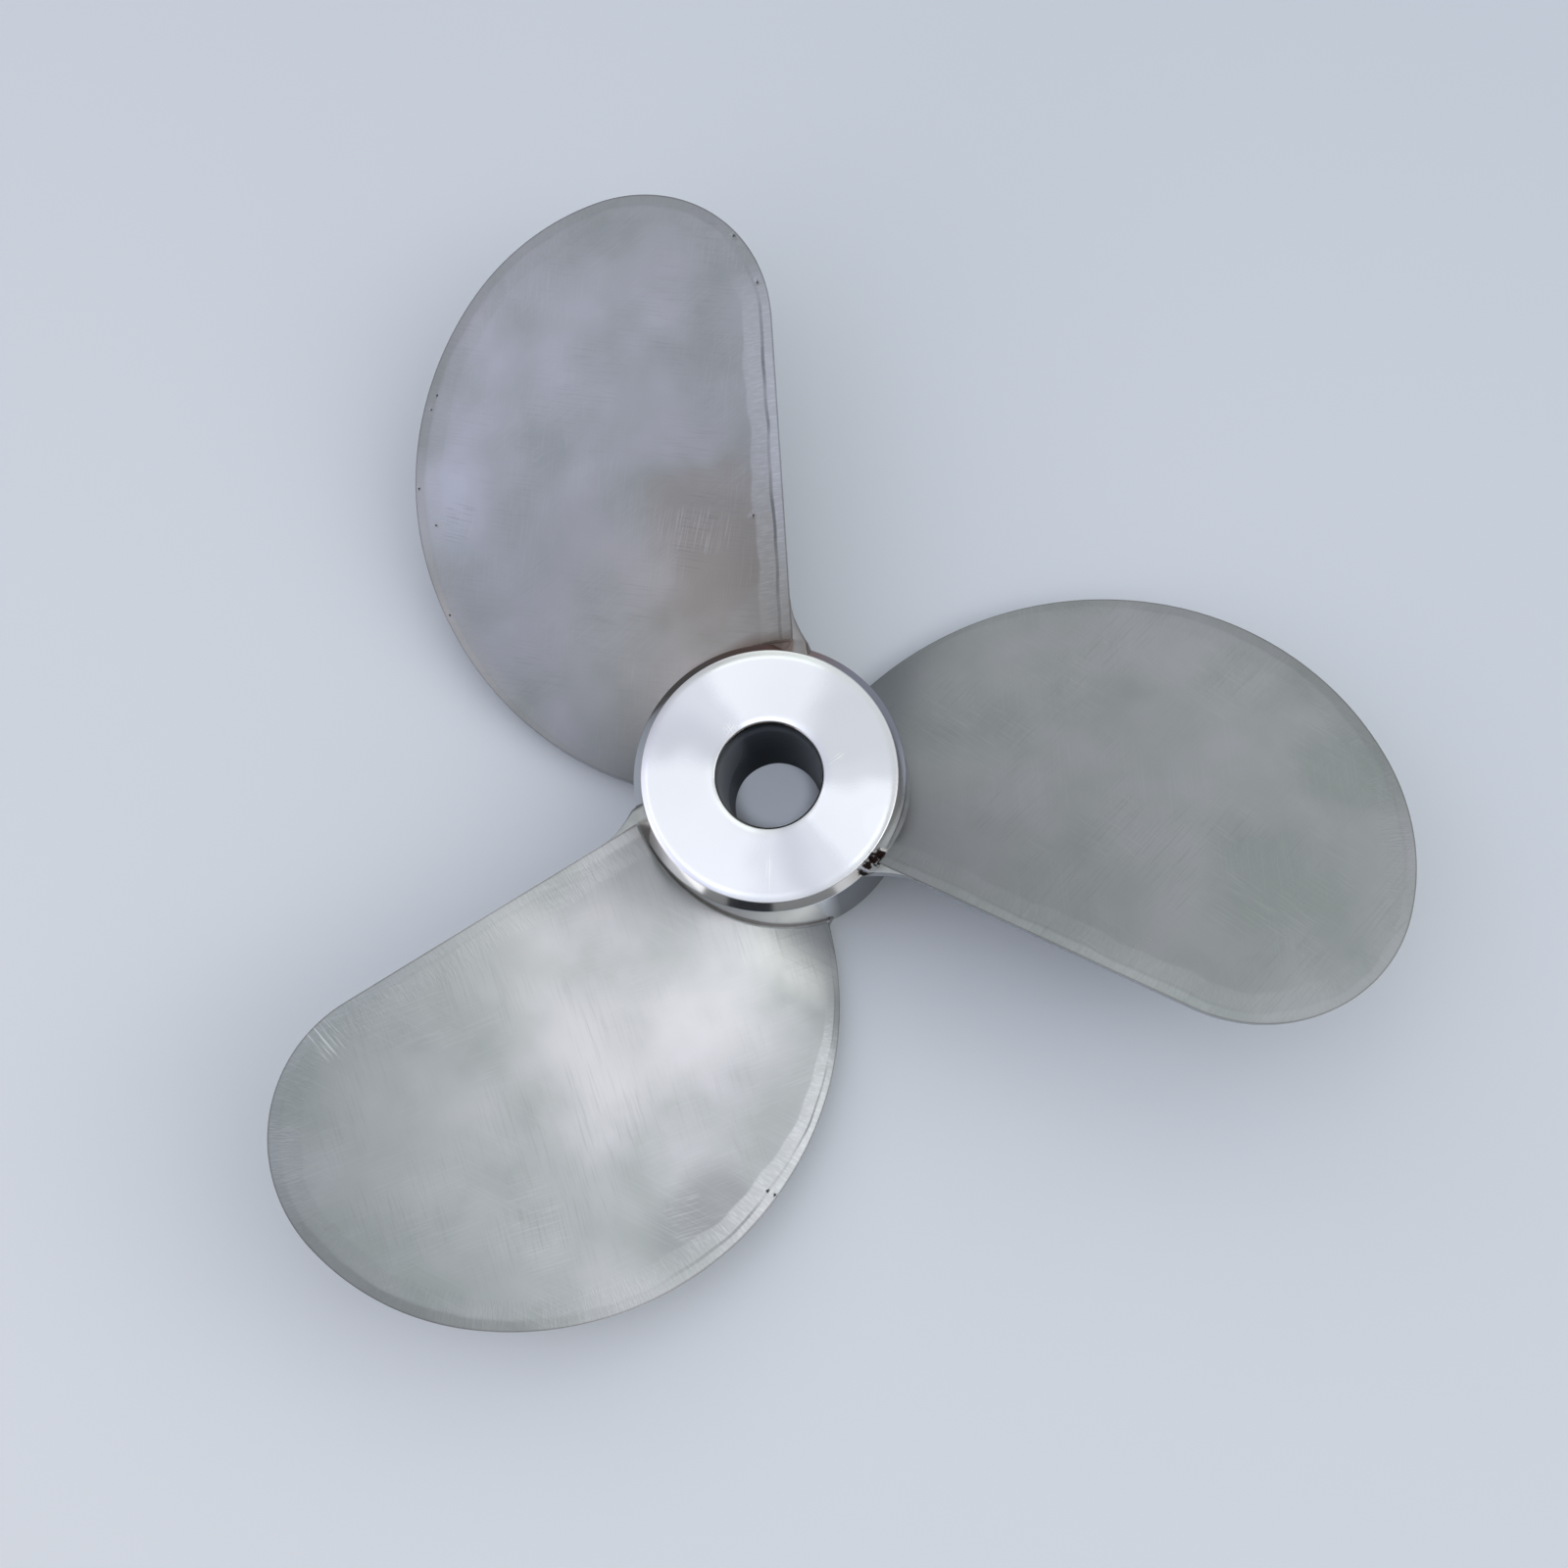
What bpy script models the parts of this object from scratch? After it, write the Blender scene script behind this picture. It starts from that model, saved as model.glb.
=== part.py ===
"""Three-bladed ship propeller, fabricated from plate welded to a turned hub.

The shaft runs along Z. The hub stands on its back face at z = 0 and the face
that points at the viewer is on top. Sizes are in metres.
"""
import math

import bmesh
import bpy
import numpy as np
from mathutils import Vector
from mathutils.geometry import delaunay_2d_cdt

# Hub
HUB_LENGTH = 0.062
HUB_RADIUS = 0.0515
FACE_CHAMFER = 0.0031
BACK_CHAMFER = 0.0015
BORE_RADIUS = 0.020
BORE_TAPER = 1.0 / 12.0
BORE_RIM = 0.0008
HUB_SEGMENTS = 96

# Screw surface that the blades follow
BLADE_COUNT = 3
FIRST_BLADE = math.radians(112.0)
ROOT_PITCH = 0.206
PITCH_GROWTH = 0.42
MID_ROOT_DROP = 0.027
RAKE = 0.062

# Blade plate
PLATE = 0.005
STRAIGHT_POINT = (0.0516, -0.0518)
STRAIGHT_HEADING = math.radians(-35.8)
STRAIGHT_LENGTH = 0.1036
EDGE_ARCS = (
    (0.0579, math.radians(98.4)),
    (0.0902, math.radians(39.5)),
    (0.1153, math.radians(55.5)),
    (0.1259, math.radians(69.2)),
)
EDGE_STEP = 0.006
GRID_STEP = 0.013
ROOT_ROWS = (0.0035, 0.008, 0.014)

# Ground bands along the edges of the visible face
WIDE_BAND = 0.0073
WIDE_BAND_DROP = 0.00022
NARROW_BAND = 0.0042
NARROW_BAND_DROP = 0.00040

# Root weld, ground almost flush on the visible face
GAP = 0.0003
FACE_LEG = 0.0022
FACE_RISE = 0.0012
BACK_LEG = 0.0045
TAIL_LEG = 0.0030
FLARE_ON_HUB = 0.0074
FLARE_DEPTH = 0.0030
FLARE_ON_BLADE = 0.0170
TOE = 0.00025
SEAM = 0.0005
WELD_RUNS = 44
WELD_SHARES = (0.0, 0.12, 0.3, 0.55, 0.8, 1.0)

ROOT_RADIUS = HUB_RADIUS + GAP


def clear_scene():
    for item in list(bpy.data.objects):
        bpy.data.objects.remove(item, do_unlink=True)


def steel(name, colour, roughness):
    material = bpy.data.materials.new(name)
    material.use_nodes = True
    shader = material.node_tree.nodes["Principled BSDF"]
    shader.inputs["Base Color"].default_value = (*colour, 1.0)
    shader.inputs["Metallic"].default_value = 1.0
    shader.inputs["Roughness"].default_value = roughness
    material.diffuse_color = (*colour, 1.0)
    return material


def add_body(name, points, faces, material, sharp_angle=30.0):
    mesh = bpy.data.meshes.new(name)
    mesh.from_pydata([tuple(p) for p in points], [], faces)
    work = bmesh.new()
    work.from_mesh(mesh)
    bmesh.ops.recalc_face_normals(work, faces=work.faces)
    if work.calc_volume(signed=True) < 0:
        bmesh.ops.reverse_faces(work, faces=work.faces)
    work.to_mesh(mesh)
    work.free()
    mesh.materials.append(material)
    mesh.shade_smooth()
    mesh.set_sharp_from_angle(angle=math.radians(sharp_angle))
    body = bpy.data.objects.new(name, mesh)
    bpy.context.scene.collection.objects.link(body)
    return body


def turned(x, y, angle):
    cos, sin = math.cos(angle), math.sin(angle)
    return x * cos - y * sin, x * sin + y * cos


def blade_face(x, y):
    """Height of the blade's visible face, before the edges are ground."""
    radius = math.hypot(x, y)
    turn = math.atan2(y, x)
    pitch = ROOT_PITCH * (radius / HUB_RADIUS) ** PITCH_GROWTH
    middle = HUB_LENGTH - MID_ROOT_DROP
    return middle - pitch * turn / (2 * math.pi) + RAKE * (radius - HUB_RADIUS)


def steepness(x, y):
    """Vertical thickness of the sloping plate per unit of its own thickness."""
    step = 0.0005
    slope_x = (blade_face(x + step, y) - blade_face(x - step, y)) / (2 * step)
    slope_y = (blade_face(x, y + step) - blade_face(x, y - step)) / (2 * step)
    return math.sqrt(1 + slope_x ** 2 + slope_y ** 2)


def walk_edge():
    """Blade edge from inside the hub, out along the straight side and round."""
    x, y = STRAIGHT_POINT
    heading = STRAIGHT_HEADING
    cos, sin = math.cos(heading), math.sin(heading)
    lead = 0.040
    steps = math.ceil((STRAIGHT_LENGTH + lead) / EDGE_STEP)
    points, headings = [], []
    for i in range(steps + 1):
        run = -lead + (STRAIGHT_LENGTH + lead) * i / steps
        points.append((x + run * cos, y + run * sin))
        headings.append(heading)
    for radius, sweep in EDGE_ARCS:
        x, y = points[-1]
        centre = (x - radius * math.sin(heading), y + radius * math.cos(heading))
        steps = math.ceil(radius * sweep / EDGE_STEP)
        for i in range(1, steps + 1):
            turn = heading + sweep * i / steps
            points.append((centre[0] + radius * math.sin(turn),
                           centre[1] - radius * math.cos(turn)))
            headings.append(turn)
        heading += sweep
    return np.array(points), np.array(headings)


def outside_hub(points, radius=ROOT_RADIUS):
    """The stretch of an edge line that lies outside a circle round the shaft."""
    away = np.hypot(points[:, 0], points[:, 1])
    outer = int(np.argmax(away))
    first = outer
    while first > 0 and away[first - 1] > radius:
        first -= 1
    last = outer
    while last < len(points) - 1 and away[last + 1] > radius:
        last += 1

    def crossing(inside, outside):
        low, high = 0.0, 1.0
        for _ in range(40):
            middle = (low + high) / 2
            spot = points[inside] + middle * (points[outside] - points[inside])
            if math.hypot(*spot) < radius:
                low = middle
            else:
                high = middle
        return points[inside] + high * (points[outside] - points[inside])

    start = crossing(first - 1, first)
    end = crossing(last + 1, last)
    body = [p for p in points[first:last + 1]]
    if np.hypot(*(body[0] - start)) < 0.001:
        body = body[1:]
    if np.hypot(*(body[-1] - end)) < 0.001:
        body = body[:-1]
    return np.array([start] + body + [end])


def blade_edges():
    """Outer edge and the two lines where the ground bands begin."""
    points, headings = walk_edge()
    inward = np.stack([-np.sin(headings), np.cos(headings)], axis=1)
    outer = outside_hub(points)
    narrow = outside_hub(points + NARROW_BAND * inward)
    wide = outside_hub(points + (NARROW_BAND + WIDE_BAND) * inward)
    return outer, narrow, wide


def distance_to(line, x, y):
    start, end = line[:-1], line[1:]
    along = end - start
    spot = np.array([x, y])
    part = ((spot - start) * along).sum(axis=1) / (along ** 2).sum(axis=1)
    nearest = start + np.clip(part, 0, 1)[:, None] * along
    return float(np.hypot(nearest[:, 0] - x, nearest[:, 1] - y).min())


def ground_off(distance):
    """Depth ground away at a distance in from the blade's edge."""
    wide = (NARROW_BAND + WIDE_BAND - distance) / WIDE_BAND
    narrow = (NARROW_BAND - distance) / NARROW_BAND
    depth = WIDE_BAND_DROP * min(max(wide, 0.0), 1.0)
    return depth + NARROW_BAND_DROP * min(max(narrow, 0.0), 1.0)


def blade_top(outer, x, y):
    return blade_face(x, y) - ground_off(distance_to(outer, x, y))


def blade_bottom(x, y):
    return blade_face(x, y) - PLATE * steepness(x, y)


def root_arc(outer, narrow, wide):
    """Points along the hub from the rounded edge's root to the straight one's."""
    start = math.atan2(outer[0][1], outer[0][0])
    end = math.atan2(outer[-1][1], outer[-1][0])
    count = math.ceil((end - start) * ROOT_RADIUS / 0.0035)
    turns = [start + (end - start) * i / count for i in range(1, count)]
    kept = [math.atan2(line[i][1], line[i][0]) for line in (narrow, wide) for i in (0, -1)]
    turns = [t for t in turns if min(abs(t - k) for k in kept) * ROOT_RADIUS > 0.0012]
    spots = sorted(turns + kept, reverse=True)
    return [(ROOT_RADIUS * math.cos(t), ROOT_RADIUS * math.sin(t)) for t in spots]


def blade_plan():
    """Flat triangulated plan of a blade, with its outline as point numbers."""
    outer, narrow, wide = blade_edges()
    root = root_arc(outer, narrow, wide)
    points = [tuple(p) for p in outer] + root
    outline = len(points)
    edges = [(i, (i + 1) % outline) for i in range(outline)]

    def join_to_root(line):
        ends = []
        for spot in (line[0], line[-1]):
            gaps = [math.dist(spot, p) for p in root]
            ends.append(len(outer) + gaps.index(min(gaps)))
        chain = [ends[0]]
        for spot in line[1:-1]:
            points.append(tuple(spot))
            chain.append(len(points) - 1)
        chain.append(ends[1])
        edges.extend(zip(chain[:-1], chain[1:]))

    join_to_root(narrow)
    join_to_root(wide)
    margin = NARROW_BAND + WIDE_BAND + 0.4 * GRID_STEP
    row_gap = GRID_STEP * math.sqrt(3) / 2
    low = outer.min(axis=0)
    high = outer.max(axis=0)
    for row in range(math.ceil((high[1] - low[1]) / row_gap)):
        y = low[1] + row * row_gap
        for column in range(math.ceil((high[0] - low[0]) / GRID_STEP)):
            x = low[0] + (column + 0.5 * (row % 2)) * GRID_STEP
            if not encloses(outer, x, y) or distance_to(outer, x, y) < margin:
                continue
            if math.hypot(x, y) > ROOT_RADIUS + ROOT_ROWS[-1] + 0.4 * GRID_STEP:
                points.append((x, y))
    for row in ROOT_ROWS:
        radius = ROOT_RADIUS + row
        start, end = root_section(outer, radius)
        count = math.ceil((end - start) * radius / (0.0035 + 0.25 * row))
        for i in range(1, count):
            turn = start + (end - start) * i / count
            x, y = radius * math.cos(turn), radius * math.sin(turn)
            if distance_to(outer, x, y) > NARROW_BAND + WIDE_BAND + 0.0015:
                points.append((x, y))
    plan = delaunay_2d_cdt([Vector(p) for p in points], edges, [list(range(outline))], 1, 1e-7)
    spots = [(p.x, p.y) for p in plan[0]]
    triangles = [list(face) for face in plan[2]]
    return outer, spots, triangles


def encloses(line, x, y):
    inside = False
    for (ax, ay), (bx, by) in zip(line, np.roll(line, -1, axis=0)):
        if (ay > y) != (by > y) and x < ax + (y - ay) * (bx - ax) / (by - ay):
            inside = not inside
    return inside


def make_blade(name, angle, plan, material):
    outer, spots, triangles = plan
    top = [(x, y, blade_top(outer, x, y)) for x, y in spots]
    bottom = [(x, y, blade_bottom(x, y)) for x, y in spots]
    count = len(spots)
    seen = {}
    for face in triangles:
        for a, b in zip(face, face[1:] + face[:1]):
            seen[(a, b)] = True
    rim = [(a, b) for a, b in seen if (b, a) not in seen]
    faces = [list(face) for face in triangles]
    faces += [[count + i for i in reversed(face)] for face in triangles]
    faces += [[b, a, count + a, count + b] for a, b in rim]
    points = [(*turned(x, y, angle), z) for x, y, z in top + bottom]
    return add_body(name, points, faces, material, 5.0)


def hub_outer(z):
    """Outer radius of the hub at a height, chamfers included."""
    top = max(z - (HUB_LENGTH - FACE_CHAMFER), 0.0)
    low = max(BACK_CHAMFER - z, 0.0)
    return HUB_RADIUS - top - low


def root_section(outer, radius):
    """Where the blade's two edges cross a circle round the shaft, as angles."""
    line = outside_hub(outer, radius) if radius > ROOT_RADIUS + 1e-6 else outer
    return (math.atan2(line[0][1], line[0][0]), math.atan2(line[-1][1], line[-1][0]))


def weld_stops():
    """Stops round a blade's root: side, place along it, outward way in degrees."""
    slope = math.degrees(math.atan(ROOT_PITCH / (2 * math.pi * ROOT_RADIUS)))
    upward = 90.0 - slope
    downward = upward - 180.0
    stops = [("face", i / WELD_RUNS, upward) for i in range(WELD_RUNS + 1)]
    stops += [("tail", 0.0, 0.5 * upward), ("tail", 0.5, 0.0), ("tail", 1.0, 0.5 * downward)]
    stops += [("back", 1 - i / WELD_RUNS, downward) for i in range(WELD_RUNS + 1)]
    stops += [("front", 1.0, -138.0), ("front", 1.0, -150.0), ("front", 0.8, -162.0)]
    stops += [("front", 0.5, -180.0), ("front", 0.2, -198.0), ("front", 0.0, -215.0)]
    stops += [("front", 0.0, -240.0), ("front", 0.0, -270.0), ("front", 0.0, -290.0)]
    return stops


def weld_ring(outer, side, place, way):
    """One cut through the weld, as turn, height and radius, closed on itself."""
    aside, upward = math.cos(math.radians(way)), math.sin(math.radians(way))
    flare = max(0.0, -aside) if side == "front" else 0.0
    low = {"face": 0.0, "back": 1.0}.get(side, place)
    leg = FACE_LEG + (BACK_LEG - FACE_LEG) * low
    rise_leg = FACE_RISE + (BACK_LEG - FACE_RISE) * low
    if side == "tail":
        leg = rise_leg = min(leg + FACE_RISE, TAIL_LEG)
    hub_aside = leg + (FLARE_ON_HUB - leg) * flare
    hub_upward = rise_leg + (FLARE_DEPTH - rise_leg) * flare
    blade_leg = leg + (FLARE_ON_BLADE - leg) * flare ** 0.8
    inner, skin = [], []
    for share in WELD_SHARES:
        radius = ROOT_RADIUS + blade_leg * share
        start, end = root_section(outer, radius)
        if side in ("face", "back"):
            turn = start + (end - start) * place
        else:
            turn = end if side == "tail" else start
        x, y = radius * math.cos(turn), radius * math.sin(turn)
        top, bottom = blade_top(outer, x, y), blade_bottom(x, y)
        level = {"face": top, "back": bottom}.get(side, top + (bottom - top) * place)
        rise = (1 - share) ** 2
        thin = SEAM + TOE
        spread = (thin + (hub_aside - thin) * rise, thin + (hub_upward - thin) * rise)
        for gap, row in (((SEAM, SEAM), inner), (spread, skin)):
            height = max(level + gap[1] * upward, 0.0004)
            if gap is spread:
                height = min(height, max(HUB_LENGTH - GAP, level + thin))
            if share == 0.0:
                height = min(height, HUB_LENGTH - GAP)
            row.append((turn + gap[0] * aside / radius, height, radius))
    corner = bend_point(inner[0], skin[0])
    return inner + skin[::-1] + [corner]


def bend_point(start, end):
    """A stop between two heights on the hub wall, on a chamfer's edge if it has one."""
    low, high = sorted((start[1], end[1]))
    edge = HUB_LENGTH - FACE_CHAMFER if low + high > HUB_LENGTH else BACK_CHAMFER
    margin = 0.1 * (high - low)
    height = min(max(edge, low + margin), high - margin)
    part = (height - start[1]) / (end[1] - start[1]) if end[1] != start[1] else 0.5
    return (start[0] + part * (end[0] - start[0]), height, ROOT_RADIUS)


def make_weld(name, angle, outer, material):
    rows = []
    for stop in weld_stops():
        row = []
        for turn, height, radius in weld_ring(outer, *stop):
            if radius <= ROOT_RADIUS:
                from_corner = abs(height - (HUB_LENGTH - FACE_CHAMFER))
                radius = hub_outer(height) + GAP + max(0.0001, 0.0006 - 0.25 * from_corner)
            row.append((radius * math.cos(turn), radius * math.sin(turn), height))
        rows.append(row)
    points = [(*turned(x, y, angle), z) for row in rows for x, y, z in row]
    return add_body(name, points, ring_faces(len(rows), len(rows[0])), material, 40.0)


def ring_faces(count, width):
    """Faces of a closed band of equal rings, joined end to end."""
    faces = []
    for i in range(count):
        ahead = (i + 1) % count
        for j in range(width):
            beside = (j + 1) % width
            faces.append([i * width + j, i * width + beside,
                          ahead * width + beside, ahead * width + j])
    return faces


def make_hub(material):
    back_bore = BORE_RADIUS - HUB_LENGTH * BORE_TAPER / 2
    profile = [
        (BORE_RADIUS + BORE_RIM, HUB_LENGTH),
        (HUB_RADIUS - FACE_CHAMFER, HUB_LENGTH),
        (HUB_RADIUS, HUB_LENGTH - FACE_CHAMFER),
        (HUB_RADIUS, BACK_CHAMFER),
        (HUB_RADIUS - BACK_CHAMFER, 0.0),
        (back_bore + BORE_RIM, 0.0),
        (back_bore, BORE_RIM),
        (BORE_RADIUS, HUB_LENGTH - BORE_RIM),
    ]
    points = []
    for i in range(HUB_SEGMENTS):
        turn = 2 * math.pi * i / HUB_SEGMENTS
        points += [(r * math.cos(turn), r * math.sin(turn), z) for r, z in profile]
    return add_body("hub", points, ring_faces(HUB_SEGMENTS, len(profile)), material)


def main():
    clear_scene()
    turned_steel = steel("turned_stainless", (0.74, 0.74, 0.75), 0.28)
    plate_steel = steel("ground_stainless_plate", (0.55, 0.55, 0.55), 0.38)
    weld_steel = steel("stainless_weld", (0.48, 0.46, 0.44), 0.42)
    make_hub(turned_steel)
    plan = blade_plan()
    for number in range(BLADE_COUNT):
        angle = FIRST_BLADE + 2 * math.pi * number / BLADE_COUNT
        make_blade("blade_%d" % (number + 1), angle, plan, plate_steel)
        make_weld("weld_%d" % (number + 1), angle, plan[0], weld_steel)


main()
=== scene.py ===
import math

import bmesh
import bpy
import numpy as np
from mathutils import Matrix, Vector
from mathutils.geometry import delaunay_2d_cdt


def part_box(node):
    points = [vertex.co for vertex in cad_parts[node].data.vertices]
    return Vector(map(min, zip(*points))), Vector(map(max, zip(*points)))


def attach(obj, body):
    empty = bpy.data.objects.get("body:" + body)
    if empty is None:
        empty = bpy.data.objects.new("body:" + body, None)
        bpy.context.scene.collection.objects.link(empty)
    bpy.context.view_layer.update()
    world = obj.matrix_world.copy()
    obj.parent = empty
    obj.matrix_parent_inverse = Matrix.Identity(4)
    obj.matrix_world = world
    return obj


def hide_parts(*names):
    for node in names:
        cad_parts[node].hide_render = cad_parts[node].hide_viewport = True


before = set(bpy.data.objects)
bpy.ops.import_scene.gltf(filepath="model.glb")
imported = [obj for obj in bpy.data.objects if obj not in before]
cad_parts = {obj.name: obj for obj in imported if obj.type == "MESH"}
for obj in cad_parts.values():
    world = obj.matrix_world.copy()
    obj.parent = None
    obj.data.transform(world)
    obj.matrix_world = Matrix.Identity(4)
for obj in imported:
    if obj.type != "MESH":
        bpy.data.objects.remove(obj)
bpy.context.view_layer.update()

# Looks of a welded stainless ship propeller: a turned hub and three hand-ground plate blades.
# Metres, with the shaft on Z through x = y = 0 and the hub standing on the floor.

# Hub
HUB_RADIUS, _, HUB_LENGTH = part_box("hub")[1]
FACE_CHAMFER = 0.0031
BACK_CHAMFER = 0.0015
CORNER = 0.00022
BORE_RADIUS = 0.020
BORE_TAPER = 1.0 / 12.0
BORE_RIM = 0.0008
HUB_SEGMENTS = 256

# Blade surface and outline
BLADE_COUNT = 3
FIRST_BLADE = math.radians(112.0)
ROOT_PITCH = 0.206
PITCH_GROWTH = 0.42
MID_ROOT_DROP = 0.027
RAKE = 0.062
PLATE = 0.005
STRAIGHT_POINT = (0.0516, -0.0518)
STRAIGHT_HEADING = math.radians(-35.8)
STRAIGHT_LENGTH = 0.1036
STRAIGHT_LEAD = 0.040
EDGE_ARCS = (
    (0.0579, math.radians(98.4)),
    (0.0902, math.radians(39.5)),
    (0.1153, math.radians(55.5)),
    (0.1259, math.radians(69.2)),
)
ROOT_RADIUS = HUB_RADIUS + 0.0003

# Bands ground by hand along the edge of the visible face
WIDE_BAND = 0.0073
WIDE_BAND_DROP = 0.00022
NARROW_BAND = 0.0042
NARROW_BAND_DROP = 0.00040
FULL_BAND = WIDE_BAND + NARROW_BAND
GRINDER_WAVE = 0.047
BAND_END = 0.018
BAND_FADE = 0.030
NARROWING = 0.55
NARROWED_FROM = 0.155
NARROWED_AT = 0.035

# The crease between the bands is sharp this far along the first blade's straight edge, and from
# here on along the second blade's rounded one, and it fades over these lengths
SHARP_UNTIL = 0.15
SHARP_UNTIL_FADE = 0.03
SHARP_FROM = 0.36
SHARP_FROM_FADE = 0.05

# Mesh of a blade: lines at these depths inside its edge, and spacings of the points
MESH_LINES = (
    0.0004, 0.0012, 0.0026, NARROW_BAND - 0.0005, NARROW_BAND, NARROW_BAND + 0.0005,
    NARROW_BAND + 0.0024, FULL_BAND - 0.0024, FULL_BAND - 0.0006, FULL_BAND, FULL_BAND + 0.0006,
)
EDGE_STEP = 0.0022
ROOT_STEP = 0.0015
FIELD_STEP = 0.0034
FIELD_FROM_BANDS = 0.0020
FIELD_FROM_ROOT = 0.0012

# Root weld: its legs along the face, the back and the two ends. It spreads at the straight
# edge while its cross-section turns through this many degrees.
FACE_LEG = 0.0013
FACE_RISE = 0.0005
BACK_LEG = 0.0045
TAIL_LEG = 0.0030
FLARE_ON_HUB = 0.0074
FLARE_DEPTH = 0.0030
FLARE_ON_BLADE = 0.0170
FLARE_TURN = 35.0

# The weld's skin: its thickness at the toe, how far it may cover the blade above the hub's face,
# how deep it sits in the plate and in the hub, and how clear it keeps of the face and the floor
TOE = 0.00012
COVER = 0.0004
SUNK = 0.0002
IN_HUB = 0.0001
BELOW_FACE = 0.0003
ABOVE_FLOOR = 0.0004

# Points across the weld by share of its leg, the ripples of the bead and the depth of its pit
WELD_SHARES = (0.0, 0.08, 0.18, 0.3, 0.45, 0.62, 0.8, 1.0)
RIPPLE_PITCH = 0.0012
RIPPLE_HEIGHT = 0.00028
PIT_DEPTH = 0.0016

# Corners that turn by more than this, in degrees, stay sharp
BLADE_SHARP = 25.0
HUB_SHARP = 30.0
WELD_SHARP = 50.0

# Every blade has its own place in the patterns, this far from the next one
PATTERN_STEP = 0.4

# Nicks and pin pits: blade, place on the blade, width across
NICKS = (
    (0, (0.1705, -0.1219), 0.0016),
    (0, (0.1496, -0.1167), 0.0014),
    (0, (0.2105, 0.0034), 0.0011),
    (0, (0.2080, 0.0088), 0.0010),
    (0, (0.1882, 0.0324), 0.0012),
    (0, (0.1722, 0.0364), 0.0011),
    (0, (0.0823, -0.0592), 0.0012),
    (0, (0.1421, 0.0548), 0.0010),
    (1, (0.1440, 0.0521), 0.0014),
    (1, (0.1443, 0.0552), 0.0012),
)
NICK_DEPTH = 0.0004

# How brown the root weld left each blade, and how dark the line along its hub side is
BROWNED = (1.0, 0.12, 0.15)
TOE_LINES = (0.80, 0.50, 0.12)

# Rough hollow left at the hub's rim beside the third blade: spots along it, their radii and tone
PITS = (
    ((0.0228, -0.0458, 0.0606), 0.0020),
    ((0.0254, -0.0445, 0.0611), 0.0025),
    ((0.0281, -0.0430, 0.0613), 0.0029),
    ((0.0306, -0.0420, 0.0612), 0.0028),
    ((0.0325, -0.0440, 0.0611), 0.0023),
)
HOLLOW_TONE = "#2c211f"

# Polish and painted sheen of the hub's face by part of a turn round the shaft, from grey to
# bright, and the middle of a painted highlight near its edge
FACE_POLISH_AND_SHEEN = (
    (0.00, 0.10), (0.06, 0.10), (0.15, 0.85), (0.26, 0.90), (0.315, 0.25), (0.375, 0.0),
    (0.45, 0.85), (0.54, 0.95), (0.64, 0.85), (0.70, 0.40), (0.745, 0.0), (0.79, 0.30),
    (0.83, 0.85), (0.91, 0.90), (0.965, 0.20), (1.0, 0.10),
)
FACE_HIGHLIGHT_SPOT = (0.035, -0.030, HUB_LENGTH)

# Scratches on the hub's face: place, way in degrees, length and width
FACE_SCRATCHES = (
    (-0.009, 0.0212, 40.0, 0.008, 0.006),
    (-0.009, 0.0212, 110.0, 0.007, 0.006),
    (0.026, -0.0016, 20.0, 0.010, 0.004),
    (-0.011, -0.036, 73.0, 0.018, 0.003),
)

# Tone of the chamfer by part of a turn: stained brown where the welds heated it, and painted
# reflections, dark and bright in turns
CHAMFER_STAIN_AND_REFLECTIONS = (
    (0.00, "#9a999f"), (0.10, "#96939b"), (0.15, "#8f7a75"), (0.21, "#7f6159"),
    (0.25, "#7a6a62"), (0.30, "#6a625d"), (0.345, "#7c7571"), (0.39, "#a2a3a7"),
    (0.43, "#b2b5ba"), (0.50, "#b6b9be"), (0.535, "#c9c6c4"), (0.57, "#eeeef1"),
    (0.80, "#eeeef1"), (0.83, "#b9b3ae"), (0.87, "#eaeaec"), (0.94, "#c4c4c8"),
    (1.00, "#9a999f"),
)

# Painted reflections on the hub's outer wall: bright above the second blade, whose face it
# reflects, and darkest just past it, where it reflects the shaded floor
WALL_PAINTED_REFLECTIONS = (
    (0.00, "#74787b"), (0.47, "#74787b"), (0.53, "#f0f1f1"), (0.765, "#f4f5f5"),
    (0.785, "#5f6265"), (0.835, "#606366"), (0.87, "#74787b"), (1.00, "#74787b"),
)

# Painted shade in the bore, from its back end to its front rim
BORE_PAINTED_SHADE = (
    (0.00, "#17181a"), (0.30, "#1d1f21"), (0.48, "#303336"), (0.65, "#434649"),
    (0.80, "#66696c"), (1.00, "#96999b"),
)

# Tool rings and sanding strokes are finer on the real one, and drawn this wide so that they show
STROKE = 0.0007

# Patches of a blade's tone and of painted light: place, blade, how far clouds bend the edge,
# reach, reach of the full tone, strength and tone. The first blade is warm toward its straight
# edge and pale inside its rounded one. The second has painted highlights in the middle and at
# its root, and painted shade inside its rounded edge.
TONE_AND_PAINTED_LIGHT_PATCHES = (
    (0.086, -0.044, 0, 0.05, 0.066, 0.042, 0.70, "#9a9694"),
    (0.178, 0.034, 0, -0.02, 0.024, 0.000, 0.35, "#c5cad6"),
    (0.116, -0.022, 1, -0.04, 0.030, -0.010, 0.75, "#bcbcc2"),
    (0.102, -0.070, 1, -0.02, 0.032, 0.000, 0.40, "#c2c3c6"),
    (0.080, 0.012, 1, -0.02, 0.024, -0.002, 0.30, "#c2c3c6"),
    (0.044, 0.038, 1, -0.02, 0.025, -0.006, 1.00, "#f0f1ef"),
    (0.155, 0.039, 1, -0.02, 0.012, -0.004, 0.75, "#83868a"),
    (0.170, 0.029, 1, -0.02, 0.012, -0.004, 0.60, "#83868a"),
)

# Strokes of the sander: way in degrees, length, tone and strength
STROKES = (
    (38.0, 0.015, "#8f9194", 0.35),
    (-47.0, 0.012, "#b6b9bc", 0.30),
    (83.0, 0.022, "#b2b6bb", 0.25),
)

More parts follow.
